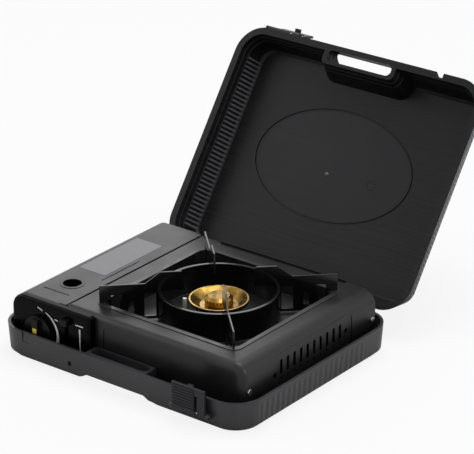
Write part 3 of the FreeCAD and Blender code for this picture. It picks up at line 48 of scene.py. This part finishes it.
# Carry case. Two moulded shells of black plastic turn on steel pins at the rear. Shallow upright
# flutes run along both ends of each, with a painted highlight, pale colour, along their crests on the lid.
# The lid is coloured darker than the base as painted shade, and darker still away from the hinge as
# painted shade; its floor is streaked outside a smooth oval, and the groove round the oval is painted
# near black as shade. The lid's wall has two low steps inside its lip.

CASE_BLACK = (0.0100, 0.0098, 0.0112, 1)
CASE_GREY = (0.0240, 0.0235, 0.0262, 1)
# Painted shade: the lid's colours are the case's plastic made darker, for the lid's shaded inside.
LID_SHADED_BLACK = (0.0018, 0.0018, 0.0020, 1)
LID_SHADED_GREY = (0.0130, 0.0128, 0.0142, 1)
LID_SMOOTH = (0.0125, 0.0122, 0.0138, 1)
# Painted highlight: pale colour on the crests of the lid's flutes.
LID_PAINTED_HIGHLIGHT = (0.1100, 0.1100, 0.1180, 1)
# Painted shade: the groove round the lid's oval is coloured near black.
GROOVE_PAINTED_SHADE = (0.0004, 0.0004, 0.0004, 1)
BASE_FLUTE_PITCH = 0.0103
LID_FLUTE_PITCH = 0.0059
FLUTE_DEPTH = 0.0005
FLUTE_FADE = 0.004
WALL_FADE = 0.0005
BASE_FLUTE_WALL = 0.1842
BASE_FLUTE_ENDS = (-0.114, 0.088)
BASE_FLUTE_LEVELS = (0.008, 0.029)
LID_FLUTE_WALL = 0.1655
LID_FLUTE_ENDS = (-0.112, 0.120)
LID_FLUTE_LEVELS = (0.056, 0.072)
LID_STEPS = (0.0445, 0.0520)
LID_STEP_DEPTH = 0.0008
LID_STEP_RISE = 0.0012
LID_TURN = math.radians(126)
LID_FLOOR = 0.076
OVAL_CENTRE = (-0.007, -0.008)
OVAL_REACH = (0.119, 0.0735)
GROOVE_LEVELS = (LID_FLOOR + 0.0003, LID_FLOOR + 0.0012)
GROOVE_FADE = 0.0002
# Painted shade: span along the shut lid over which its colour goes from dark, far from the hinge, to lighter at
# the hinge.
PAINTED_SHADE_TO_HINGE = (-0.12, 0.09)
STREAK_STRETCH = (0.7, 45, 1)
GRAIN_DEPTH = 0.00003
CASE_SHEEN = 0.5
LID_SHEEN = 0.16
LATCH_SHEEN = 0.3
MERGE_GAP = 0.00001
FLAT_ANGLE = math.radians(0.5)
CREASE_ANGLE = math.radians(32)


class Shade:
    """One shader socket, so that masks and patterns are written as plain sums."""

    def __init__(self, finish, socket):
        self.finish = finish
        self.socket = socket

    def sum_with(self, operation, first, second):
        return self.finish.make("ShaderNodeMath", {"operation": operation}, first, second)

    def __add__(self, other):
        return self.sum_with("ADD", self, other)

    def __radd__(self, other):
        return self.sum_with("ADD", other, self)

    def __mul__(self, other):
        return self.sum_with("MULTIPLY", self, other)

    def __rmul__(self, other):
        return self.sum_with("MULTIPLY", other, self)

    def __abs__(self):
        return self.finish.make("ShaderNodeMath", {"operation": "ABSOLUTE"}, self)


class Finish:
    """A surface finish: a Principled shader and the pattern nodes that feed it."""

    def __init__(self, name, roughness=0.5, metallic=0.0, sheen=0.5):
        self.material = bpy.data.materials.new(name)
        self.material.use_nodes = True
        self.tree = self.material.node_tree
        self.shader = self.tree.nodes["Principled BSDF"]
        self.shader.inputs["Roughness"].default_value = roughness
        self.shader.inputs["Metallic"].default_value = metallic
        self.shader.inputs["Specular IOR Level"].default_value = sheen
        self.place = self.make("ShaderNodeTexCoord", {}, out="Object")

    def make(self, kind, settings, *values, out=0, **named):
        """Adds a node with its settings and inputs and gives one of its outputs."""
        node = self.tree.nodes.new(kind)
        for key, setting in settings.items():
            setattr(node, key, setting)
        for key, entry in list(enumerate(values)) + list(named.items()):
            if entry is None:
                continue
            socket = node.inputs[key.replace("_", " ") if isinstance(key, str) else key]
            if isinstance(entry, Shade):
                self.tree.links.new(entry.socket, socket)
            else:
                socket.default_value = entry
        return Shade(self, node.outputs[out])

    def feed(self, socket, shade):
        self.tree.links.new(shade.socket, self.shader.inputs[socket])

    def turned(self, location=(0, 0, 0), rotation=(0, 0, 0), scale=(1, 1, 1)):
        return self.make("ShaderNodeMapping", {}, self.place, location, rotation, scale)

    def noise(self, scale, detail=3.0, roughness=0.5, where=None):
        return self.make("ShaderNodeTexNoise", {}, Vector=where or self.place, Scale=scale,
                         Detail=detail, Roughness=roughness, out="Fac")

    def spread(self, shade, low, high, to_low=0.0, to_high=1.0):
        """Maps a range of a value onto another, with the ends held."""
        return self.make("ShaderNodeMapRange", {}, shade, low, high, to_low, to_high)

    def blend(self, mask, first, second):
        """Colour that goes from first to second with a mask."""
        node = self.tree.nodes.new("ShaderNodeMix")
        node.data_type = "RGBA"
        for index, entry in ((0, mask), (6, first), (7, second)):
            if isinstance(entry, Shade):
                self.tree.links.new(entry.socket, node.inputs[index])
            else:
                node.inputs[index].default_value = entry
        return Shade(self, node.outputs[2])

    def vector(self, operation, *values, out=0):
        return self.make("ShaderNodeVectorMath", {"operation": operation}, *values, out=out)

    def axis(self, vector, letter):
        return self.make("ShaderNodeSeparateXYZ", {}, vector, out=letter)

    def relief(self, height, distance, strength=1.0, under=None):
        """Bump from a height, with an earlier bump under it."""
        return self.make("ShaderNodeBump", {}, Height=height, Distance=distance,
                         Strength=strength, Normal=under)


def shade_by_crease(mesh, angle=CREASE_ANGLE):
    """Smooth faces with a hard line wherever the surface turns sharply."""
    for face in mesh.faces:
        face.smooth = True
    for edge in mesh.edges:
        edge.smooth = edge.is_manifold and edge.calc_face_angle(0) < angle


def finished(name, mesh, finish, body, replaces=()):
    """Makes an object of a bmesh, gives it its finish and sets it riding on its body."""
    data = bpy.data.meshes.new(name)
    mesh.to_mesh(data)
    mesh.free()
    piece = bpy.data.objects.new(name, data)
    bpy.context.scene.collection.objects.link(piece)
    data.materials.append(finish.material)
    if replaces:
        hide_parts(*replaces)
    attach(piece, body)
    return piece


def skin(node, finish, soften=0.0, segments=2):
    """Smooth copy of a solid in its place, with its sharp edges softened a little."""
    mesh = bmesh.new()
    mesh.from_mesh(NODES[node].data)
    bmesh.ops.remove_doubles(mesh, verts=mesh.verts, dist=MERGE_GAP)
    bmesh.ops.dissolve_limit(mesh, angle_limit=FLAT_ANGLE, verts=mesh.verts, edges=mesh.edges)
    shade_by_crease(mesh)
    slot = NODES[node].data.materials[0].name if NODES[node].data.materials else None
    piece = finished(node + "_surface", mesh, finish, BODY_OF[node], replaces=(node,))
    if soften:
        edge = piece.modifiers.new("softened_edges", "BEVEL")
        edge.width = soften
        edge.segments = segments
        edge.limit_method = "ANGLE"
        edge.angle_limit = CREASE_ANGLE
        edge.use_clamp_overlap = True
        edge.harden_normals = True
    return piece


def band(finish, along, low, high, soft):
    """Mask that is 1 between two places along an axis and fades out over a soft edge."""
    return (finish.spread(along, low - soft, low)
            * finish.spread(along, high, high + soft, 1.0, 0.0))


def moulded_plastic(name, turn, sheen, pitch, wall, ends, levels):
    """Moulded plastic with a fine grain and upright flutes, and the places on the shut shell."""
    plastic = Finish(name, roughness=0.42, sheen=sheen)
    pivot = Vector(JOINTS["lid_hinge"]["pos_m"])
    shut = plastic.make("ShaderNodeVectorRotate", {"rotation_type": "X_AXIS"}, plastic.place,
                        Center=pivot, Angle=turn)
    streak = plastic.noise(9, 6, 0.7, plastic.vector("MULTIPLY", shut, STREAK_STRETCH))
    cloud = plastic.noise(5, 3)
    plastic.feed("Roughness", plastic.spread(streak, 0.35, 0.65, 0.38, 0.46))
    grain = plastic.relief(plastic.noise(2600, 2), GRAIN_DEPTH, 0.4)
    side = abs(plastic.axis(shut, "X"))
    along = plastic.axis(shut, "Y")
    height = plastic.axis(shut, "Z")
    wave = plastic.make("ShaderNodeMath", {"operation": "SINE"}, along * (math.tau / pitch))
    on_wall = plastic.spread(side, wall - WALL_FADE, wall)
    on_flutes = (on_wall * band(plastic, along, *ends, FLUTE_FADE)
                 * band(plastic, height, *levels, FLUTE_FADE))
    places = {"shut": shut, "along": along, "height": height, "streak": streak, "cloud": cloud,
              "wave": wave, "flutes": on_flutes}
    return plastic, places, plastic.relief(wave * on_flutes, FLUTE_DEPTH, 1.0, grain)


case_plastic, case_places, case_flutes = moulded_plastic(
    "case_plastic", 0.0, CASE_SHEEN, BASE_FLUTE_PITCH, BASE_FLUTE_WALL, BASE_FLUTE_ENDS,
    BASE_FLUTE_LEVELS)
case_plastic.feed("Base Color", case_plastic.blend(
    case_plastic.spread(case_places["streak"] * 0.4 + case_places["cloud"] * 0.6, 0.38, 0.62),
    CASE_BLACK, CASE_GREY))
case_plastic.feed("Normal", case_flutes)
skin("case_base", case_plastic, soften=0.0005)

lid_plastic, lid_places, lid_flutes = moulded_plastic(
    "lid_plastic", LID_TURN, LID_SHEEN, LID_FLUTE_PITCH, LID_FLUTE_WALL, LID_FLUTE_ENDS,
    LID_FLUTE_LEVELS)
lid_height = lid_places["height"]
across_oval = lid_plastic.vector("MULTIPLY", lid_plastic.vector(
    "SUBTRACT", lid_places["shut"], (*OVAL_CENTRE, 0)), (1 / OVAL_REACH[0], 1 / OVAL_REACH[1], 0))
from_oval = lid_plastic.vector("LENGTH", across_oval, out="Value")
in_oval = lid_plastic.spread(from_oval, 0.93, 0.97, 1.0, 0.0)
in_groove = (band(lid_plastic, from_oval, 0.972, 1.0, 0.003)
             * band(lid_plastic, lid_height, *GROOVE_LEVELS, GROOVE_FADE))
# Painted shade: the lid's colour darkens away from the hinge.
painted_light_to_hinge = lid_plastic.spread(lid_places["along"], *PAINTED_SHADE_TO_HINGE)
streaks = lid_plastic.spread(lid_places["streak"] * 0.75 + lid_places["cloud"] * 0.25, 0.40, 0.62)
floor_tone = lid_plastic.blend(streaks * (0.35 + painted_light_to_hinge * 0.65), LID_SHADED_BLACK, LID_SHADED_GREY)
smooth_tone = lid_plastic.blend(lid_plastic.spread(lid_places["cloud"], 0.3, 0.7, 0.5, 1.0),
                                LID_SHADED_BLACK, LID_SMOOTH)
# Painted shade: the groove round the oval is coloured near black.
plain_tone = lid_plastic.blend(in_groove, lid_plastic.blend(in_oval, floor_tone, smooth_tone),
                               GROOVE_PAINTED_SHADE)
# Painted highlight: the crests of the lid's flutes are coloured pale.
painted_highlight = lid_places["flutes"] * lid_plastic.spread(lid_places["wave"], -0.4, 0.8)
lid_plastic.feed("Base Color", lid_plastic.blend(painted_highlight, plain_tone, LID_PAINTED_HIGHLIGHT))
steps = (lid_plastic.spread(lid_height, LID_STEPS[0], LID_STEPS[0] + LID_STEP_RISE)
         + lid_plastic.spread(lid_height, LID_STEPS[1], LID_STEPS[1] + LID_STEP_RISE))
lid_plastic.feed("Normal", lid_plastic.relief(steps, LID_STEP_DEPTH, 1.0, lid_flutes))
skin("case_lid", lid_plastic, soften=0.0010, segments=3)

# Marks of the mould on the lid's floor: the gate's nub in the middle and a small ring where
# an ejector pin pushed. Both are the case's own plastic; the nub is coloured paler than the floor.

NUB_PLACE = (-0.0121, 0.0038)
NUB_RADIUS = 0.0032
EJECTOR_PLACE = (0.0557, 0.0026)
EJECTOR_RADIUS = 0.0058
NUB_DEPTH = 0.0016
NUB_SUNK = 0.0006
NUB_EDGE = 0.0003
RING_THICK = 0.0004
MARK_SEGMENTS = 32


gate_scar = Finish("gate_scar", roughness=0.34)
gate_scar.feed("Base Color", gate_scar.blend(
    gate_scar.noise(900, 3), (0.030, 0.030, 0.032, 1), (0.110, 0.110, 0.114, 1)))


def on_lid(name, mesh, finish):
    """Turns a mark that was modelled on the shut lid to the open lid and fixes it there."""
    bmesh.ops.rotate(mesh, verts=mesh.verts, cent=Vector(JOINTS["lid_hinge"]["pos_m"]),
                     matrix=Matrix.Rotation(-LID_TURN, 3, "X"))
    bmesh.ops.recalc_face_normals(mesh, faces=mesh.faces)
    shade_by_crease(mesh)
    return finished(name, mesh, finish, "lid")


nub = bmesh.new()
bmesh.ops.create_cone(nub, cap_ends=True, segments=MARK_SEGMENTS, radius1=0.4 * NUB_RADIUS,
                      radius2=NUB_RADIUS, depth=NUB_DEPTH)
bmesh.ops.bevel(nub, geom=nub.edges, offset=NUB_EDGE, segments=2, affect="EDGES", profile=0.5,
                material=-1)
bmesh.ops.translate(nub, verts=nub.verts, vec=(*NUB_PLACE, LID_FLOOR - NUB_SUNK))
on_lid("lid_gate_nub", nub, gate_scar)

ejector = bmesh.new()
bmesh.ops.create_circle(ejector, segments=8, radius=RING_THICK)
bmesh.ops.rotate(ejector, verts=ejector.verts, matrix=Matrix.Rotation(math.pi / 2, 3, "X"))
bmesh.ops.translate(ejector, verts=ejector.verts, vec=(EJECTOR_RADIUS, 0, 0))
bmesh.ops.spin(ejector, geom=ejector.edges[:], cent=(0, 0, 0), axis=(0, 0, 1), angle=math.tau,
               steps=MARK_SEGMENTS, use_merge=True)
bmesh.ops.translate(ejector, verts=ejector.verts, vec=(*EJECTOR_PLACE, LID_FLOOR))
on_lid("lid_ejector_ring", ejector, lid_plastic)

# Catch slot. The upright slot in the front of the lower shell is not cut; a thin near-black plate on the wall
# stands in for it as painted shade.

SLOT_MIDDLE = (-0.0708, -0.1501, 0.0190)
SLOT_SIZE = (0.0045, 0.0005, 0.0092)
SLOT_CORNER = 0.0016
SLOT_LEAN = math.radians(-4)

# Painted shade: near-black colour for the shaded inside of the slot.
slot_painted_shade = Finish("slot_painted_shade", roughness=0.7, sheen=0.1)
slot_painted_shade.feed("Base Color", slot_painted_shade.blend(
    slot_painted_shade.noise(300, 3), (0.001, 0.001, 0.001, 1), (0.003, 0.003, 0.003, 1)))
slot = bmesh.new()
bmesh.ops.create_cube(slot, size=1.0)
bmesh.ops.scale(slot, verts=slot.verts, vec=SLOT_SIZE)
bmesh.ops.bevel(slot, geom=[edge for edge in slot.edges
                            if abs(edge.verts[0].co.y - edge.verts[1].co.y) > SLOT_SIZE[1] / 2],
                offset=SLOT_CORNER, segments=4, affect="EDGES", profile=0.5, material=-1)
bmesh.ops.rotate(slot, verts=slot.verts, matrix=Matrix.Rotation(SLOT_LEAN, 3, "X"))
bmesh.ops.translate(slot, verts=slot.verts, vec=SLOT_MIDDLE)
finished("base_slot_painted_shade", slot, slot_painted_shade, "case")

# Latches and pins. Ribbed black plates on steel pins; the lower one stands hooked at the
# front and the upper one is folded back against the lid.

latch_plastic = Finish("latch_plastic", roughness=0.38, sheen=LATCH_SHEEN)
latch_plastic.feed("Base Color", latch_plastic.blend(
    latch_plastic.noise(60, 3), (0.0080, 0.0078, 0.0098, 1), (0.0140, 0.0135, 0.0165, 1)))
latch_plastic.feed("Normal", latch_plastic.relief(latch_plastic.noise(2400, 2), 0.00003, 0.5))
skin("base_latch", latch_plastic, soften=0.0003)
skin("lid_latch", latch_plastic, soften=0.0003)

bright_steel = Finish("bright_steel", roughness=0.28, metallic=1.0)
bright_steel.feed("Base Color", bright_steel.blend(
    bright_steel.noise(90, 3), (0.48, 0.48, 0.49, 1), (0.62, 0.62, 0.63, 1)))
for node in ("hinge_pins", "base_latch_pin", "lid_latch_pin", "cover_pins"):
    skin(node, bright_steel)

# Stove body. A steel pan with folded edges carries everything; one pressed sheet wraps its
# top, front, right and rear, and a second closes the cartridge bay. Both sheets are painted
# satin black with a slight orange peel, a little worn in random patches.

PAINT_DARK = (0.0052, 0.0051, 0.0060, 1)
PAINT_WORN = (0.0105, 0.0103, 0.0117, 1)

body_paint = Finish("body_paint", roughness=0.36, sheen=0.36)
body_paint.feed("Base Color", body_paint.blend(
    body_paint.spread(body_paint.noise(9, 4, 0.55), 0.35, 0.75), PAINT_DARK, PAINT_WORN))
body_paint.feed("Roughness", body_paint.spread(body_paint.noise(24, 4), 0.35, 0.65, 0.33, 0.39))
body_paint.feed("Normal", body_paint.relief(body_paint.noise(700, 2), 0.00006, 0.5))
skin("top_shell", body_paint, soften=0.0003)
skin("cartridge_cover", body_paint, soften=0.0003)

# Bare plate on the cover: a satin silver sticker with rounded corners and nothing on it.

PLATE_X = (-0.1540, -0.1130)
PLATE_Y = (-0.0340, 0.0760)
PLATE_THICK = 0.00015
PLATE_CORNER = 0.003
COVER_TOP = 0.077

plate_silver = Finish("plate_silver", roughness=0.36, metallic=0.35, sheen=0.4)
brushing = plate_silver.noise(60, 5, 0.7, plate_silver.turned(scale=(1, 14, 1)))
plate_silver.feed("Base Color", plate_silver.blend(
    plate_silver.spread(brushing, 0.3, 0.7), (0.105, 0.104, 0.113, 1), (0.165, 0.163, 0.176, 1)))
plate_silver.feed("Roughness", plate_silver.spread(brushing, 0.3, 0.7, 0.32, 0.44))
plate = bmesh.new()
bmesh.ops.create_grid(plate, x_segments=1, y_segments=1, size=0.5)
bmesh.ops.scale(plate, verts=plate.verts,
                vec=(PLATE_X[1] - PLATE_X[0], PLATE_Y[1] - PLATE_Y[0], 1))
bmesh.ops.bevel(plate, geom=plate.verts, offset=PLATE_CORNER, segments=5, affect="VERTICES",
                profile=0.5, material=-1)
bmesh.ops.translate(plate, verts=plate.verts,
                    vec=(sum(PLATE_X) / 2, sum(PLATE_Y) / 2, COVER_TOP + PLATE_THICK))
bmesh.ops.solidify(plate, geom=plate.faces, thickness=PLATE_THICK)
bmesh.ops.recalc_face_normals(plate, faces=plate.faces)
finished("bare_plate", plate, plate_silver, "cover")

zinc_steel = Finish("zinc_steel", roughness=0.34, metallic=1.0)
spangle = zinc_steel.make("ShaderNodeTexVoronoi", {}, Vector=zinc_steel.place, Scale=160.0,
                          out="Color")
zinc_steel.feed("Base Color", zinc_steel.blend(
    zinc_steel.axis(spangle, "X"), (0.36, 0.37, 0.39, 1), (0.50, 0.51, 0.53, 1)))
zinc_steel.feed("Roughness", zinc_steel.spread(zinc_steel.noise(60, 3), 0.3, 0.7, 0.28, 0.42))
for node in ("heat_shield", "cartridge_carriage", "regulator_bracket", "burner_bracket",
             "electrode_bracket"):
    skin(node, zinc_steel, soften=0.0002)
skin("base_pan", body_paint, soften=0.0002)
skin("side_screws", bright_steel, soften=0.0004)

foot_rubber = Finish("foot_rubber", roughness=0.75)
foot_rubber.feed("Base Color", foot_rubber.blend(
    foot_rubber.noise(120, 3), (0.010, 0.010, 0.011, 1), (0.022, 0.022, 0.023, 1)))
skin("rubber_feet", foot_rubber, soften=0.0008)

# Fascia. A glossy black moulding stands proud of the front at the left, with the knob and the
# lock lever in it and plain marks printed in white: an arc that widens, a tick and an arrow.

FASCIA_FRONT = -0.1365
PRINT_THICK = 0.00006
DIAL_CENTRE = (-0.12875, 0.0360)

fascia_gloss = Finish("fascia_gloss", roughness=0.26, sheen=0.06)
fascia_gloss.feed("Base Color", fascia_gloss.blend(
    fascia_gloss.noise(30, 3), (0.0006, 0.0006, 0.0008, 1), (0.0018, 0.0018, 0.0022, 1)))
fascia_gloss.feed("Normal", fascia_gloss.relief(fascia_gloss.noise(500, 2), 0.00003, 0.4))
skin("knob_fascia", fascia_gloss, soften=0.0005)

print_white = Finish("print_white", roughness=0.5)
print_white.feed("Base Color", print_white.blend(
    print_white.spread(print_white.noise(500, 4), 0.35, 0.6), (0.48, 0.48, 0.49, 1),
    (0.80, 0.80, 0.81, 1)))


def printed(name, mesh):
    """Gives a flat mark its film of ink and lays it on the fascia's front."""
    mesh.normal_update()
    bmesh.ops.solidify(mesh, geom=mesh.faces, thickness=PRINT_THICK)
    front = min(vert.co.y for vert in mesh.verts)
    bmesh.ops.translate(mesh, verts=mesh.verts, vec=(0, FASCIA_FRONT - PRINT_THICK - front, 0))
    bmesh.ops.recalc_face_normals(mesh, faces=mesh.faces)
    return finished(name, mesh, print_white, "stove")


def arc_mark(name, angles, radii, widths, steps=24):
    """Printed arc round the dial's centre whose radius and width change along it."""
    mesh = bmesh.new()
    first, last = (math.radians(angle) for angle in angles)
    ends = [mesh.verts.new((radii[0] + side * widths[0] / 2, 0, 0)) for side in (-1, 1)]
    mesh.edges.new(ends)
    bmesh.ops.spin(mesh, geom=mesh.verts[:] + mesh.edges[:], cent=(0, 0, 0), axis=(0, 1, 0),
                   angle=first - last, steps=steps)
    for vert in mesh.verts:
        turn = math.atan2(-vert.co.z, vert.co.x) / (first - last)
        outer = 1 if vert.co.length > radii[0] else -1
        reach = (radii[0] + turn * (radii[1] - radii[0])
                 + outer * (widths[0] + turn * (widths[1] - widths[0])) / 2)
        vert.co = vert.co.normalized() * reach
    bmesh.ops.rotate(mesh, verts=mesh.verts, matrix=Matrix.Rotation(-first, 3, "Y"))
    bmesh.ops.translate(mesh, verts=mesh.verts, vec=(DIAL_CENTRE[0], 0, DIAL_CENTRE[1]))
    return printed(name, mesh)


def flat_mark(name, corners):
    """Printed mark with straight sides, from its corners across and up the fascia."""
    mesh = bmesh.new()
    mesh.faces.new([mesh.verts.new((x, 0, z)) for x, z in corners])
    return printed(name, mesh)


arc_mark("dial_arc", (71, -12), (0.0305, 0.0285), (0.0009, 0.0046))
arc_mark("dial_small", (94, 80), (0.0325, 0.0300), (0.0014, 0.0018), 6)
flat_mark("dial_tick",
          ((-0.1046, 0.0602), (-0.0994, 0.0598), (-0.0994, 0.0586), (-0.1046, 0.0590)))
flat_mark("lever_bar",
          ((-0.0720, 0.0628), (-0.0602, 0.0628), (-0.0602, 0.0614), (-0.0720, 0.0614)))
flat_mark("lever_arrow",
          ((-0.0668, 0.0580), (-0.0644, 0.0580), (-0.0648, 0.0290), (-0.0658, 0.0290)))

# Knob. One black moulding with a bar to turn it by and a yellow paint mark, on a brass stem.

knob_black = Finish("knob_black", roughness=0.3, sheen=0.12)
knob_black.feed("Base Color", knob_black.blend(
    knob_black.noise(80, 3), (0.003, 0.003, 0.0036, 1), (0.007, 0.007, 0.0082, 1)))
skin("knob", knob_black, soften=0.0008, segments=3)
mark_yellow = Finish("mark_yellow", roughness=0.4)
mark_yellow.feed("Base Color", mark_yellow.blend(
    mark_yellow.noise(200, 3), (0.70, 0.50, 0.03, 1), (0.85, 0.68, 0.08, 1)))
skin("knob_mark", mark_yellow)
skin("lock_lever", knob_black, soften=0.0006, segments=3)

# Gas train. Die-cast regulator and burner pipe, brass pipe and jet, and the piezo unit.

die_cast = Finish("die_cast", roughness=0.5, metallic=1.0)
die_cast.feed("Base Color", die_cast.blend(
    die_cast.noise(120, 4), (0.32, 0.32, 0.33, 1), (0.48, 0.48, 0.49, 1)))
die_cast.feed("Normal", die_cast.relief(die_cast.noise(1400, 3), 0.00008, 0.6))
for node in ("regulator", "mixing_tube", "burner_body"):
    skin(node, die_cast, soften=0.0004)

warm_brass = Finish("warm_brass", roughness=0.24, metallic=1.0)
warm_brass.feed("Base Color", warm_brass.blend(
    warm_brass.spread(warm_brass.noise(45, 5, 0.65), 0.35, 0.68), (0.13, 0.068, 0.014, 1),
    (0.46, 0.290, 0.066, 1)))
warm_brass.feed("Roughness", warm_brass.spread(warm_brass.noise(110, 4), 0.3, 0.7, 0.16, 0.34))
for node in ("burner_head", "gas_pipe", "jet_block", "knob_stem"):
    skin(node, warm_brass, soften=0.0002)

spark_ceramic = Finish("spark_ceramic", roughness=0.2)
spark_ceramic.feed("Base Color", spark_ceramic.blend(
    spark_ceramic.noise(100, 3), (0.60, 0.58, 0.53, 1), (0.74, 0.72, 0.67, 1)))
skin("spark_electrode", spark_ceramic, soften=0.0003)
skin("igniter", fascia_gloss, soften=0.0004)

# Drip tray. Thin pressed steel in satin black enamel, dropped into the top's square opening.

tray_enamel = Finish("tray_enamel", roughness=0.3, sheen=0.5)
tray_enamel.feed("Base Color", tray_enamel.blend(
    tray_enamel.spread(tray_enamel.noise(26, 5), 0.4, 0.7), (0.0110, 0.0108, 0.0120, 1),
    (0.0250, 0.0246, 0.0270, 1)))
tray_enamel.feed("Roughness", tray_enamel.spread(tray_enamel.noise(60, 4), 0.3, 0.7, 0.28, 0.44))
tray_enamel.feed("Normal", tray_enamel.relief(tray_enamel.noise(900, 2), 0.00004, 0.5))
skin("drip_tray", tray_enamel, soften=0.0003)

# Trivet. A ring of steel strip and four slotted fins, welded and dipped in black gloss enamel.

trivet_enamel = Finish("trivet_enamel", roughness=0.16, sheen=0.45)
trivet_enamel.feed("Base Color", trivet_enamel.blend(
    trivet_enamel.noise(30, 4), (0.0020, 0.0020, 0.0024, 1), (0.0060, 0.0058, 0.0068, 1)))
trivet_enamel.feed("Normal", trivet_enamel.relief(trivet_enamel.noise(180, 3), 0.00012, 0.5))
for node in [name for name in NODES if name.startswith("trivet_")]:
    skin(node, trivet_enamel, soften=0.0005, segments=3)

# Studio. A white floor that keeps a soft shadow, a white surround and four broad lamps.

FLOOR_SIZE = 6.0
FLOOR_GLOW = 0.85
SURROUND_COLOUR = (0.77, 0.77, 0.79, 1)
SURROUND_STRENGTH = 0.45
LOOK_AT = Vector((0.07745, -0.0189, 0.1876))
VIEW_DISTANCE = 3.2024
VIEW_AZIMUTH = math.radians(37.8)
VIEW_ELEVATION = math.radians(23.8)
LENS = 210.0

floor_mesh = bmesh.new()
bmesh.ops.create_grid(floor_mesh, x_segments=1, y_segments=1, size=FLOOR_SIZE)
floor_data = bpy.data.meshes.new("floor")
floor_mesh.to_mesh(floor_data)
floor_mesh.free()
floor = bpy.data.objects.new("floor", floor_data)
bpy.context.scene.collection.objects.link(floor)
floor_white = bpy.data.materials.new("floor_white")
floor_white.use_nodes = True
floor_tree = floor_white.node_tree
floor_shader = floor_tree.nodes["Principled BSDF"]
floor_shader.inputs["Base Color"].default_value = (0.86, 0.86, 0.86, 1)
floor_shader.inputs["Roughness"].default_value = 0.9
floor_rays = floor_tree.nodes.new("ShaderNodeLightPath")
floor_glow = floor_tree.nodes.new("ShaderNodeEmission")
floor_mix = floor_tree.nodes.new("ShaderNodeMixShader")
floor_share = floor_tree.nodes.new("ShaderNodeMath")
floor_share.operation = "MULTIPLY"
floor_share.inputs[1].default_value = FLOOR_GLOW
floor_tree.links.new(floor_rays.outputs["Is Camera Ray"], floor_share.inputs[0])
floor_tree.links.new(floor_share.outputs[0], floor_mix.inputs[0])
floor_tree.links.new(floor_shader.outputs[0], floor_mix.inputs[1])
floor_tree.links.new(floor_glow.outputs[0], floor_mix.inputs[2])
floor_tree.links.new(floor_mix.outputs[0], floor_tree.nodes["Material Output"].inputs[0])
floor_data.materials.append(floor_white)

world = bpy.data.worlds.new("studio_surround")
bpy.context.scene.world = world
world.use_nodes = True
sky = world.node_tree
sky_light = sky.nodes["Background"]
sky_light.inputs["Color"].default_value = SURROUND_COLOUR
sky_light.inputs["Strength"].default_value = SURROUND_STRENGTH
sky_white = sky.nodes.new("ShaderNodeBackground")
sky_white.inputs["Color"].default_value = (1, 1, 1, 1)
sky_white.inputs["Strength"].default_value = 1.0
sky_rays = sky.nodes.new("ShaderNodeLightPath")
sky_mix = sky.nodes.new("ShaderNodeMixShader")
seen = sky.nodes.new("ShaderNodeMath")
seen.operation = "MAXIMUM"
seen_through = sky.nodes.new("ShaderNodeMath")
seen_through.operation = "MAXIMUM"
sky.links.new(sky_rays.outputs["Is Camera Ray"], seen.inputs[0])
sky.links.new(sky_rays.outputs["Is Glossy Ray"], seen.inputs[1])
sky.links.new(seen.outputs[0], seen_through.inputs[0])
sky.links.new(sky_rays.outputs["Is Transmission Ray"], seen_through.inputs[1])
sky.links.new(seen_through.outputs[0], sky_mix.inputs[0])
sky.links.new(sky_light.outputs[0], sky_mix.inputs[1])
sky.links.new(sky_white.outputs[0], sky_mix.inputs[2])
sky.links.new(sky_mix.outputs[0], sky.nodes["World Output"].inputs[0])


def softbox(name, place, width, depth, power):
    """Broad rectangular lamp aimed at the stove."""
    lamp = bpy.data.lights.new(name, "AREA")
    lamp.shape = "RECTANGLE"
    lamp.size = width
    lamp.size_y = depth
    lamp.energy = power
    holder = bpy.data.objects.new(name, lamp)
    holder.location = place
    holder.rotation_euler = (LOOK_AT - Vector(place)).to_track_quat("-Z", "Y").to_euler()
    bpy.context.scene.collection.objects.link(holder)


softbox("lamp_above", (0.1, 0.5, 2.2), 1.6, 1.6, 26)
softbox("lamp_left", (-1.8, -0.8, 1.3), 1.0, 1.2, 10)
softbox("lamp_right", (2.0, 0.3, 1.1), 0.9, 1.2, 8)
softbox("lamp_behind", (-1.5, 1.9, 1.25), 1.2, 0.9, 5)

lens = bpy.data.cameras.new("view_camera")
lens.lens = LENS
lens.sensor_width = 36
lens.clip_end = 50
camera = bpy.data.objects.new("view_camera", lens)
back = Vector((math.sin(VIEW_AZIMUTH) * math.cos(VIEW_ELEVATION),
               -math.cos(VIEW_AZIMUTH) * math.cos(VIEW_ELEVATION), math.sin(VIEW_ELEVATION)))
camera.location = LOOK_AT + VIEW_DISTANCE * back
camera.rotation_euler = (-back).to_track_quat("-Z", "Y").to_euler()
bpy.context.scene.collection.objects.link(camera)
bpy.context.scene.camera = camera
bpy.context.scene.view_settings.view_transform = "Standard"
